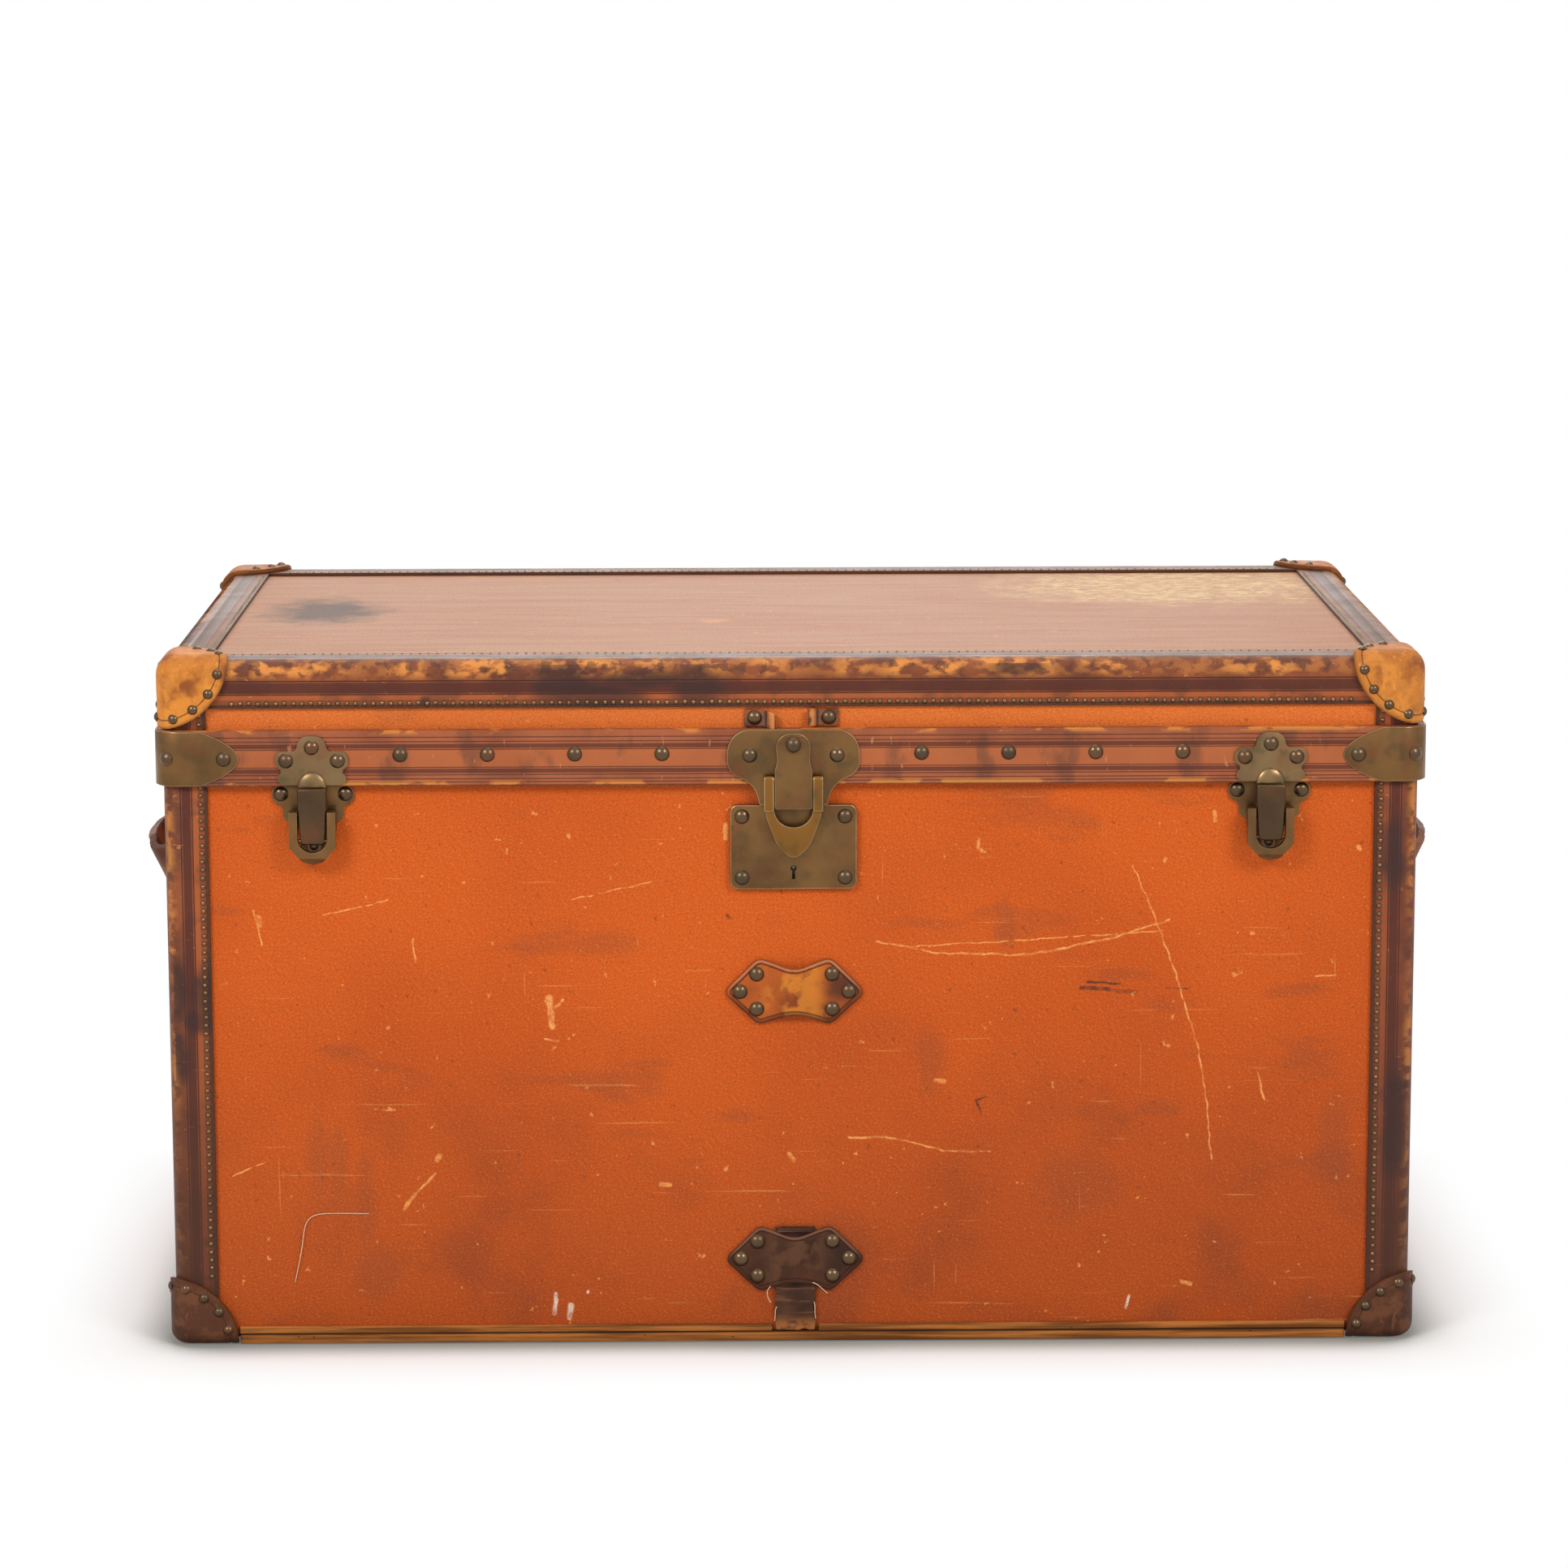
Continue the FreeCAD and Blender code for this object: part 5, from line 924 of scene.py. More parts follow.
def patch_material(name, centre_z, fresh, shade, pale, ink, rim_highlight):
    """Patch leather: paler in its rubbed middle, painted shade along its lower rim and a painted
    highlight along its upper rim, inked at one side.
    """
    t = new_material(name, 0.1)
    here = t.here
    parts = t.parts(here)
    t.clouded(26.0, 6.0, 0.36, 0.66, fresh, shade)
    middle = t.step(t.maths("ABSOLUTE", t.maths("SUBTRACT", parts["X"], PATCH_X)), 0.030, 0.014)
    t.lay(t.both(middle, t.patches(60.0, 0.40, 0.56)), 0.75, pale)
    sheet = t.add("CombineXYZ", {"X": parts["X"], "Y": parts["Z"]}).outputs[0]
    blot = t.grouped("Stain", Sheet=sheet, Centre=(0.0400, centre_z + 0.004, 0.0),
                     Size=(0.022, 0.016, 1.0))["Mask"]
    t.lay(blot, ink, (52, 38, 34))
    spots = t.patches(100.0, 0.60, 0.68)
    t.lay(spots, 0.45, (66, 40, 28))
    rim_gap = t.add("Attribute", attribute_name="rim_gap").outputs["Fac"]
    t.lay(t.near(rim_gap, PATCH_CREASE, 0.0004, 0.0006), 0.75, (64, 34, 22))
    # The rolled rim: painted shade along its lower side, painted highlight along its upper side
    rim = t.step(rim_gap, 0.0030, 0.0018)
    lower = t.step(parts["Z"], centre_z + 0.004, centre_z - 0.010)
    t.lay(t.both(rim, lower), 0.75, (62, 32, 20))
    upper = t.both(rim, t.step(parts["Z"], centre_z - 0.002, centre_z + 0.010))
    t.lay(upper, 0.55, rim_highlight)
    cut = t.step(rim_gap, 0.0010, 0.0002)
    t.lay(cut, 0.6, (52, 28, 20))
    t.finish_leather(0.42, 0.7)


def tab_material():
    """Torn leather: dark round the rivet, creased, with pale raw ends towards the middle."""
    t = new_material("torn_leather", 0.35)
    here = t.here
    across = t.maths("ABSOLUTE", t.parts(here)["X"])
    tone = t.clouded(90.0, 5.0, 0.36, 0.66, (128, 74, 44), (84, 50, 36))
    ends = t.step(across, 0.0200, 0.0165)
    t.lay(t.both(ends, t.step(tone, 0.62, 0.46)), 0.85, (204, 124, 54))
    crease = t.either(t.near(across, 0.0205, 0.0006, 0.0006),
                      t.near(across, 0.0130, 0.0004, 0.0006))
    t.lay(crease, 0.8, (42, 24, 18))
    t.finish(0.45, tone, 0.0006, 0.7)


def metal_material(name, bright, dark, share=0.75, rough=0.34):
    t = new_material(name, 0.5)
    patina = t.grouped("Patina", Vector=t.here)
    t.base = t.mix(t.maths("MULTIPLY", patina["Dark"], share), bright, dark)
    copper = t.patches(34.0, 0.50, 0.70, (1.0, 2.0, 3.0))
    t.lay(copper, 0.40, (122, 70, 46))
    green = t.patches(52.0, 0.54, 0.72, (7.0, 3.0, 1.0))
    t.lay(green, 0.45, (66, 66, 46))
    t.lay(patina["Rubbed"], 0.25, bright)
    t.shader.inputs["Metallic"].default_value = 0.9
    roughness = t.maths("MULTIPLY_ADD", patina["Dark"], 0.16, rough)
    t.finish(roughness, patina["Height"], 0.0001, 0.4)


def wood_material(name, pale, dark, holes_and_seam_shade):
    """Bare poplar: grain along the boards; where the strips are exposed, worm-hole dots and
    painted shade along the seam between them.
    """
    t = new_material(name, 0.1)
    here = t.here
    grain = t.clouds(t.stretched((9.0, 9.0, 260.0)), 1.0, 5.0)
    fine = t.clouds(t.stretched((40.0, 200.0, 900.0)), 1.0, 3.0)
    t.base = t.mix(t.step(grain, 0.35, 0.65), pale, dark)
    t.lay(t.step(fine, 0.5, 0.7), 0.45, dark)
    if holes_and_seam_shade:
        level = t.parts(here)["Z"]
        # Painted shade: a dark line along the seam between the two strips
        t.lay(t.near(level, 0.0090, 0.0006, 0.0007), 0.85, (48, 28, 16))
        cells = t.add("TexVoronoi", {"Vector": t.stretched((1.0, 1.0, 2.0)),
                                     "Scale": 70.0}).outputs
        picked = t.add("SeparateColor", {0: cells["Color"]}).outputs[0]
        dots = t.both(t.step(cells["Distance"], 0.085, 0.06), t.step(picked, 0.55, 0.6))
        t.base = t.mix(dots, t.base, (20, 12, 8))
    t.finish(0.75, t.maths("ADD", grain, fine), 0.0004, 0.6)


def cloth_material(name, fresh, shade, threads):
    """Woven cotton: crossed threads, faint stains."""
    t = new_material(name)
    here = t.here
    sheet = t.grouped("Face sheet", Vector=here, Normal=t.facing)["Sheet"]
    parts = t.parts(t.vectors("MULTIPLY", sheet, (threads,) * 3))
    weave = t.both(t.maths("SINE", parts["X"]), t.maths("SINE", parts["Y"]))
    stains = t.clouds(here, 9.0, 5.0)
    t.base = t.shaded(fresh, t.step(stains, 0.35, 0.75), 0.22, shade)
    t.lay(t.patches(7.0, 0.60, 0.68, (0.0, 0.0, 6.0)), 0.16, shade)
    t.lay(t.step(weave, 0.1, -0.6), 0.18, shade)
    t.finish(0.85, weave, 0.0003, 0.5)


def plain_material(name, tint, rough):
    t = new_material(name)
    tone = t.clouds(t.here, 300.0, 3.0)
    t.base = t.mix(t.maths("MULTIPLY", tone, 0.4), tint, (96, 70, 48))
    t.finish(rough, tone, 0.0002, 0.5)


def make_materials():
    for build in (broken_patches_group, face_sheet_group, twill_group, leather_grain_group,
                  scratch_group, stain_group, edging_group, patina_group):
        build()
    tints = colours()
    canvas_material()
    edging_material("post_leather", (0.0155, 0.0218), POST_NAILS, POST_WIDTH, (0.012, 0.001),
                    POST_STAINS)
    edging_material("rim_leather", (0.0180, 0.0260), 0.0340, RIM_DROP, (0.0175, 0.009), RIM_STAINS)
    band_material()
    cap_material("top_cap_leather", TOP_CAP_HIGH, TOP_CAP_REACH, tints.cap, tints.cap_brown,
                 (232, 152, 66))
    cap_material("base_cap_leather", BASE_CORNER, BASE_CAP_REACH, tints.base_cap, (66, 40, 28),
                 (134, 84, 52))
    # The last colour of each patch is the painted highlight along its upper rim
    patch_material("upper_patch_leather", UPPER_PATCH_Z, (176, 88, 36), (124, 60, 30),
                   (206, 126, 46), 0.8, (196, 128, 92))
    patch_material("lower_patch_leather", LOWER_PATCH_Z, (86, 52, 34), (56, 36, 26), (98, 66, 46),
                   0.3, (144, 98, 76))
    tab_material()
    leather_material("strap_leather", (88, 56, 38), (60, 38, 28), 40.0, 0.65, (0.024, 0.012))
    leather_material("handle_leather", (132, 78, 46), (84, 48, 32), 24.0, 0.45)
    metal_material("aged_brass", tints.brass, tints.brass_dark)
    metal_material("rivet_brass", (100, 80, 58), (70, 54, 42), 0.7, 0.24)
    metal_material("catch_brass", (134, 108, 74), (104, 80, 54), 0.7, 0.30)
    metal_material("nail_brass", (132, 106, 72), (88, 68, 46), 0.6, 0.26)
    metal_material("finger_brass", (92, 70, 48), (66, 48, 36), 0.7, 0.24)
    # Brighter brass on eased edges: rubbed wear and a painted highlight
    metal_material("rubbed_highlight_brass", (168, 140, 100), (120, 94, 64), 0.7, 0.26)
    metal_material("hasp_metal", tints.brass_bright, (112, 76, 34), 0.6, 0.30)
    metal_material("lock_steel", tints.steel, (70, 62, 54))
    wood_material("bare_wood", tints.wood, tints.wood_dark, True)
    wood_material("board_wood", (196, 152, 102), (150, 108, 70), False)
    cloth_material("cotton_lining", tints.lining, (158, 134, 100), 4200.0)
    cloth_material("woven_tape", tints.tape, (112, 84, 54), 5200.0)
    plain_material("linen_thread", (224, 198, 160), 0.8)


def material(name):
    return bpy.data.materials[name]


# Geometry of the pieces
def across_of(point):
    gaps = (HALF_WIDTH - abs(point.x), HALF_DEPTH - abs(point.y),
            min(TOP - point.z, point.z - FOOT))
    return sorted(gaps)


def tooled(piece, lines, height_lines):
    """Presses tooled lines into leather edging, at given distances from the box's outer edge."""
    half = 0.0005
    depth = sizes().tooling
    for line in lines:
        for place in (line - half, line, line + half):
            for sign in (1, -1):
                if height_lines:
                    level = TOP - place if sign > 0 else FOOT + place
                    sliced(piece, UP, [level])
                sliced(piece, RIGHT, [sign * (HALF_WIDTH - place)])
                sliced(piece, BACK, [sign * (HALF_DEPTH - place)])

    def on_line(vertex):
        skin, across, far = across_of(vertex.co)
        return skin < MERGE * 5 and any(abs(across - line) < MERGE * 5 for line in lines)

    edit(piece, on_line, "VERT")
    bpy.ops.transform.shrink_fatten(value=-depth)
    leave()
    return piece


def edging(node, name, body, lines, height_lines, finish):
    piece = tooled(copied(node, name), lines, height_lines)
    softened(piece, sizes().leather_round)
    return finished(piece, body, finish, "leather", node, angle=30.0)


def nail():
    """One small domed nail head on the origin, standing along +Z."""
    size = sizes()
    piece = primitive("uv_sphere", "nail", segments=7, ring_count=6, radius=size.nail_radius)
    edit(piece)
    bpy.ops.mesh.bisect(plane_co=(0, 0, 0), plane_no=UP, clear_inner=True)
    leave()
    piece.data.transform(Matrix.Scale(size.nail_rise / size.nail_radius, 4, UP))
    return piece


def nail_rows(name, rows, pitch, seed, share=1.0):
    """Rows of nails, each from a start to an end on a face, a little uneven as if set by hand."""
    head = nail()
    head.data.transform(Matrix.Scale(share, 4))
    made = []
    for start, end, outward in rows:
        start, end = Vector(start), Vector(end)
        count = max(2, round((end - start).length / pitch) + 1)
        row = twin(head, "nail_row")
        row.data.transform(outward.to_track_quat("Z", "Y").to_matrix().to_4x4())
        row.data.transform(Matrix.Translation(start))
        applied(row, "ARRAY", count=count, use_relative_offset=False, use_constant_offset=True,
                constant_offset_displace=(end - start) / (count - 1))
        made.append(row)
    piece = joined(made, name)
    per_nail = len(head.data.vertices)
    bpy.data.objects.remove(head)
    draw = random.Random(seed)
    shift = Vector()
    for index, vertex in enumerate(piece.data.vertices):
        if index % per_nail == 0:
            shift = Vector([draw.uniform(-NAIL_SHAKE, NAIL_SHAKE) for axis in range(3)])
            outward = max((abs(value), axis) for axis,
                          value in enumerate((vertex.co.x / HALF_WIDTH, vertex.co.y / HALF_DEPTH,
                                              vertex.co.z / TOP)))[1]
            shift[outward] = 0.0
        vertex.co += shift
    return piece


def corner_rows(side, low, high):
    """Upright nail lines on both faces of the two corners at the front or the back."""
    rows = []
    for end in (1, -1):
        for x, y, outward in ((end * (HALF_WIDTH - POST_NAILS), side * HALF_DEPTH, BACK * side),
                              (end * HALF_WIDTH, side * (HALF_DEPTH - POST_NAILS), RIGHT * end)):
            rows.append(((x, y, low), (x, y, high), outward))
    return rows


def level_rows(side, clear, inset, level):
    """Level nail lines along the front or the back and along one end, clear of the corners."""
    x, y = HALF_WIDTH - clear, HALF_DEPTH - clear
    face, end = side * (HALF_DEPTH - inset), side * (HALF_WIDTH - inset)
    return [((-x, face, level), (x, face, level), BACK * side),
            ((end, -y, level), (end, y, level), RIGHT * side)]


def cap(node, name, body, corner, reach, finish):
    """Moulded corner caps with a tooled line and rounded rims."""
    size = sizes()
    piece = remeshed(copied(node, name), size.cap_grain)
    line = reach - CAP_LINE

    def pressed(at, normal):
        folded = Vector((abs(at.x), abs(at.y), at.z))
        away = (folded - corner).length
        gap = abs(away - line) / 0.0011
        groove = max(0.0, 1.0 - gap * gap) * 0.00055
        lump = noise.noise(at * 45.0) * 0.0004 + noise.noise(at * 140.0) * 0.00015
        return normal * (lump - groove)

    moulded(piece, pressed)
    return finished(piece, body, finish, "cap_leather", node)


def corner_brass(name):
    """One brass corner of the band: a bullet-ended strip, bent round the front right corner."""
    node_low, node_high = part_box("band_corner_plates")
    half_tall = (node_high.z - node_low.z) / 2
    thick = node_high.x - BAND_HIGH.x
    arc = BAND_ROUND * math.pi / 4
    nose, straight = 0.0300, 0.4385
    tip = arc + BAND_HIGH.x - BAND_ROUND - straight
    bullet = [(1 - share * share, share) for share in [index / 12 for index in range(-12, 13)]]
    outline = [Vector((tip - nose + nose * out, half_tall * up)) for out, up in bullet]
    outline += [Vector((-point.x, point.y)) for point in reversed(outline)]
    middle = (node_low.z + node_high.z) / 2
    piece = plate(name, outline, (0.0, 0.0, middle), thick)
    sliced(piece, RIGHT, [arc * step / 8 for step in range(-8, 9)])
    worn_highlit_edges(piece, 0.0005, "aged_brass")
    centre = Vector((BAND_HIGH.x - BAND_ROUND, BAND_ROUND - BAND_HIGH.y, 0.0))

    def bent(at, normal):
        along = min(arc, max(-arc, at.x))
        turn = along / BAND_ROUND + math.pi / 4
        outward = Vector((math.sin(turn), -math.cos(turn), 0.0))
        onward = Vector((math.cos(turn), math.sin(turn), 0.0))
        place = centre + outward * (BAND_ROUND - at.y) + onward * (at.x - along)
        return place + UP * at.z - at

    return moulded(piece, bent)


def bow_tie(name, node, centre_z, finish, arch, seed):
    """A riveted patch: six-sided with drawn-in waists, arched in the middle over its strap."""
    right = [(0.0, -0.0176, 0.022), (0.0290, -0.0274, 0.0085), (0.0574, -0.0005, 0.0065),
             (0.0290, 0.0274, 0.0085)]
    outline = rounded([(0.0, -0.0176, 0.030)] + right[1:] + [(0.0, 0.0176, 0.030)]
                      + [(-x, z, r) for x, z, r in reversed(right[1:])])
    centre = (PATCH_X, CANVAS_LOW.y, centre_z)
    piece = plate(name, outline, centre, 0.0029)
    columns = [centre[0] + share * 0.030 / 7 for share in range(-7, 8)]
    sliced(piece, RIGHT, columns)

    def arched(at, normal):
        away = abs(at.x - centre[0]) / 0.0215
        rise = arch * (1 + math.cos(math.pi * away)) / 2 if away < 1 else 0.0
        return FRONT * rise

    moulded(piece, arched)
    remeshed(piece, sizes().patch_grain, 2)
    ring = [Vector((point.x + centre[0], point.y + centre_z)) for point in outline]

    def edge_gap(at):
        here = Vector((at.x, at.z))
        best = 1.0
        for start, end in zip(ring, ring[1:] + ring[:1]):
            run = end - start
            share = clamped((here - start).dot(run) / max(run.length_squared, 1e-12))
            best = min(best, (here - start - run * share).length)
        return best

    def pressed(at, normal):
        shift = normal * noise.noise(at * 90.0 + Vector((seed, 0, 0))) * 0.00035
        if normal.y < -0.5:
            gap = abs(edge_gap(at) - PATCH_CREASE) / 0.0010
            shift -= normal * max(0.0, 1.0 - gap * gap) * 0.0008
        return shift

    gaps = [edge_gap(vertex.co) for vertex in piece.data.vertices]
    moulded(piece, pressed)
    piece.data.attributes.new("rim_gap", "FLOAT", "POINT").data.foreach_set("value", gaps)
    return finished(piece, "case", finish, "leather", node)


def thread(name, points, radius):
    """A loose thread along a few points."""
    bpy.ops.object.select_all(action="DESELECT")
    bpy.ops.curve.primitive_nurbs_path_add()
    wire = bpy.context.view_layer.objects.active
    spline = wire.data.splines[0]
    spline.points.add(max(0, len(points) - len(spline.points)))
    for index, point in enumerate(spline.points):
        point.co = Vector(points[min(index, len(points) - 1)]).to_4d()
    wire.data.bevel_depth = radius
    wire.data.bevel_resolution = 1
    wire.data.resolution_u = 4
    wire.data.use_fill_caps = True
    bpy.ops.object.convert(target="MESH")
    return added(name)


def stitches(name, points, outward, spacing, size):
    """Short slanted stitches laid along a line of points."""
    one = primitive("uv_sphere", name + "_one", segments=6, ring_count=4, radius=1.0)
    made = []
    for start, end in zip(points, points[1:]):
        run = end - start
        count = max(1, int(run.length / spacing))
        turn = run.to_track_quat("X", "Z").to_matrix().to_4x4()
        for index in range(count):
            at = start + run * (index + 0.5) / count
            bit = twin(one, "stitch")
            bit.data.transform(Matrix.Diagonal((size * 1.6, size * 0.5, size * 0.5, 1.0)))
            bit.data.transform(turn)
            bit.data.transform(Matrix.Translation(at + outward * size * 0.2))
            made.append(bit)
    bpy.data.objects.remove(one)
    return joined(made, name)


class TrunkPart(bpy.types.Operator):
    """Base of the operators that make one group of pieces each"""
    bl_options = {"REGISTER", "UNDO"}


class TRUNK_OT_materials(TrunkPart):
    """Make the node groups and the materials of every finish"""
    bl_idname = "trunk.materials"
    bl_label = "Materials"

    def execute(self, context):
        make_materials()
        return {"FINISHED"}


class TRUNK_OT_box(TrunkPart):
    """Paint the boards, the canvas skins and the lining"""
    bl_idname = "trunk.box"
    bl_label = "Boards, canvas and lining"

    def execute(self, context):
        for node in ("case_canvas", "lid_canvas"):
            painted(node, "painted_canvas")
        for node in ("bottom_board", "front_panel", "back_panel", "left_panel", "right_panel",
                     "lid_board", "lid_rails"):
            painted(node, "board_wood")
        for node in ("case_lining", "lid_lining"):
            painted(node, "cotton_lining")
        return {"FINISHED"}


class TRUNK_OT_edging(TrunkPart):
    """Make the leather edging with its tooled lines"""
    bl_idname = "trunk.edging"
    bl_label = "Leather edging"

    def execute(self, context):
        edging("corner_trims", "corner_leathers", "case", POST_LINES, False, "post_leather")
        edging("lid_corner_trims", "lid_corner_leathers", "lid", POST_LINES, False, "post_leather")
        edging("lid_edge_trims", "lid_rim_leathers", "lid", RIM_LINES, True, "rim_leather")
        edging("base_trims", "base_leathers", "case", POST_LINES, True, "post_leather")
        return {"FINISHED"}


class TRUNK_OT_nails(TrunkPart):
    """Set the small nails along the leather edging"""
    bl_idname = "trunk.nails"
    bl_label = "Edging nails"

    def execute(self, context):
        size = sizes()
        rows = []
        for side in (1, -1):
            rows += corner_rows(side, *POST_NAIL_ENDS)
            rows += level_rows(side, POST_NAIL_CLEAR, 0.0, FOOT + POST_NAILS)
        # The front's foot has bare wood strips in place of nailed edging
        rows = [row for row in rows if not (row[2].y < 0 and row[0][2] == row[1][2])]
        finished(nail_rows("case_nails", rows, size.post_nail_pitch, 11), "case", "nail_brass",
                 "brass", angle=60.0)

        rows, seam = [], []
        for side in (1, -1):
            rows += level_rows(side, RIM_NAIL_CLEAR, 0.0, TOP - RIM_NAILS)
            seam += level_rows(side, RIM_NAIL_CLEAR, RIM_WIDTH - 0.0030, TOP)
            rows += corner_rows(side, *LID_NAIL_ENDS)
        seam = [(start, end, UP) for start, end, outward in seam]
        made = [nail_rows("lid_nails", rows, size.rim_nail_pitch, 12),
                nail_rows("seam_nails", seam, size.rim_nail_pitch, 13, 0.55)]
        finished(joined(made, "lid_nails"), "lid", "nail_brass", "brass", angle=60.0)
        return {"FINISHED"}


class TRUNK_OT_band(TrunkPart):
    """Make the leather-covered closing band and its brass corners"""
    bl_idname = "trunk.band"
    bl_label = "Closing band"

    def execute(self, context):
        piece = copied("closing_band", "closing_band_leather")
        half = 0.0004
        for level in BAND_LINES:
            sliced(piece, UP, [level - half, level, level + half])

        def on_line(vertex):
            outer = abs(vertex.co.x) > HALF_WIDTH or abs(vertex.co.y) > HALF_DEPTH
            return outer and any(abs(vertex.co.z - level) < MERGE * 5 for level in BAND_LINES)

        edit(piece, on_line, "VERT")
        bpy.ops.transform.shrink_fatten(value=-sizes().tooling)
        leave()
        softened(piece, 0.0012, 3)
        finished(piece, "lid", "band_leather", "leather", "closing_band", angle=30.0)
        pair = paired(corner_brass("band_corner_brass"), "band_corner_brass")
        rear = mirrored(pair, "band_corner_rear", BACK)
        finished(joined([pair, rear], "band_corner_brass"), "lid", "aged_brass", "brass",
                 "band_corner_plates")
        return {"FINISHED"}


class TRUNK_OT_caps(TrunkPart):
    """Mould the leather corner caps"""
    bl_idname = "trunk.caps"
    bl_label = "Corner caps"

    def execute(self, context):
        cap("top_corner_caps", "top_cap_leathers", "lid", TOP_CAP_HIGH, TOP_CAP_REACH,
            "top_cap_leather")
        cap("base_corner_caps", "base_cap_leathers", "case", BASE_CORNER, BASE_CAP_REACH,
            "base_cap_leather")
        return {"FINISHED"}


class TRUNK_OT_rivets(TrunkPart):
    """Smooth the domed rivets"""
    bl_idname = "trunk.rivets"
    bl_label = "Rivets"

    def execute(self, context):
        for node, body in (("case_rivets", "case"), ("lid_rivets", "lid"),
                           ("case_cap_rivets", "case"), ("lid_cap_rivets", "lid")):
            piece = copied(node, node + "_domed")
            finished(piece, body, "rivet_brass", "brass", node)
        return {"FINISHED"}


class TRUNK_OT_lock(TrunkPart):
    """Finish the lock plate and the lock's works"""
    bl_idname = "trunk.lock"
    bl_label = "Lock"

    def execute(self, context):
        low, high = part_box("lock_plate")
        middle = (low.x + high.x) / 2
        face = high.y - 0.0050
        wide = (high.x - low.x) / 2
        tall = high.z - low.z
        round_corner = 0.006
        outline = rounded([(wide, 0.0, round_corner), (wide, tall, round_corner),
                           (-wide, tall, round_corner), (-wide, 0.0, round_corner)], 8)
        body = plate("lock_plate_brass", outline, (middle, high.y, low.z), high.y - face)
        worn_highlit_edges(body, 0.0009, "aged_brass", 3)
        eye = primitive("cylinder", "keyhole", vertices=24, radius=0.0024, depth=0.02,
                        location=(middle, face, KEYHOLE_Z), rotation=(math.pi / 2, 0, 0))
        slit = block("keyhole_slit", (middle - 0.0012, face - 0.01, KEYHOLE_Z - 0.0088),
                     (middle + 0.0012, face + 0.01, KEYHOLE_Z))
        for tool in (eye, slit):
            applied(body, "BOOLEAN", operation="DIFFERENCE", solver="EXACT", object=tool)
            bpy.data.objects.remove(tool)
        nose_half = 0.0143
        outline = rounded([(nose_half, 0.4417, 0.0014), (-nose_half, 0.4417, 0.0014),
                           (-nose_half, 0.4268, 0.0135), (nose_half, 0.4268, 0.0135)], 10)
        nose = plate("lock_nose", outline, (middle, face, 0.0), face - low.y)
        worn_highlit_edges(nose, 0.0008, "aged_brass", 3)
        finished(joined([body, nose], "lock_plate_brass"), "case", "aged_brass", "brass",
                 "lock_plate")
        painted("lock_case", "lock_steel")
        painted("lock_bolt", "lock_steel")
        return {"FINISHED"}


class TRUNK_OT_hasp(TrunkPart):
    """Make the hasp plate, its domed cover strap and the hasp"""
    bl_idname = "trunk.hasp"
    bl_label = "Hasp"

    def execute(self, context):
        low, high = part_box("hasp_plate")
        centre = ((low.x + high.x) / 2, high.y, low.z)
        drop = BAND_HIGH.z - low.z
        outline = rounded(both_ways([(0.0270, 0.0, 0.002), (0.0310, 0.0170, 0.022),
                                     (0.0532, 0.0270, 0.014), (0.0520, drop, 0.0185)]), 8)
        piece = plate("hasp_plate_brass", outline, centre, high.y - low.y)
        worn_highlit_edges(piece, 0.0007, "aged_brass")
        finished(piece, "lid", "aged_brass", "brass", "hasp_plate")

        low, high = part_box("hasp_cover_strap")
        middle = (low.x + high.x) / 2
        tall = high.z - low.z
        wide = (high.x - low.x) / 2
        outline = rounded(both_ways([(wide, 0.0, 0.0018), (wide, tall - 0.030, 0.02),
                                     (wide - 0.0022, tall - 0.0215, 0.02), (wide, tall, 0.0115)]),
                          8)
        piece = plate("hasp_cover_brass", outline, (middle, high.y, low.z), 0.0020)
        sliced(piece, UP, [low.z + tall * share / 24 for share in range(1, 24)])

        def domed(at, normal):
            """The strap rises from its riveted head, bows forward and tucks in at its foot."""
            share = (at.z - low.z) / tall
            bow = math.sin(math.pi * clamped((0.80 - share) / 0.80) * 0.62) ** 0.8
            return FRONT * bow * (high.y - low.y - 0.0022)

        moulded(piece, domed)
        worn_highlit_edges(piece, 0.0009, "aged_brass", 3)
        finished(piece, "lid", "aged_brass", "brass", "hasp_cover_strap")
        dressed("hasp_pin", "hasp_pin_brass", "lid", "aged_brass", "brass", 0.0003)

        low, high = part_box("hasp")
        thick = high.y - low.y
        step_up = 0.4388
        outline = rounded([(0.0222, 0.0500, 0.002), (0.0222, 0.0345, 0.02),
                           (0.0128, 0.0100, 0.025), (0.0, -0.0012, 0.0075),
                           (-0.0128, 0.0100, 0.025), (-0.0222, 0.0345, 0.02),
                           (-0.0222, 0.0500, 0.002), (-0.0153, 0.0500, 0.0015),
                           (-0.0153, 0.0257, 0.0148), (0.0153, 0.0257, 0.0148),
                           (0.0153, 0.0500, 0.0015)], 8)
        shield = plate("hasp_brass", outline, (middle, high.y, low.z), thick * 0.62)
        worn_highlit_edges(shield, 0.0006, "hasp_metal")
        arms = []
        for side in (1, -1):
            inner, outer = sorted((middle + side * 0.0153, middle + side * 0.0238))
            arm = block("hasp_arm", (inner, low.y, step_up), (outer, high.y, high.z))
            edit(arm, lambda edge: all(vertex.co.z > high.z - MERGE for vertex in edge.verts)
                 and abs(edge.verts[0].co.y - edge.verts[1].co.y) < MERGE, "EDGE")
            bpy.ops.mesh.bevel(offset=0.0029, segments=6)
            leave()
            arms.append(worn_highlit_edges(arm, 0.0012, "hasp_metal", 3))
        piece = joined([shield] + arms, "hasp_brass")
        finished(piece, "hasp", "hasp_metal", "bright_brass", "hasp")
        return {"FINISHED"}


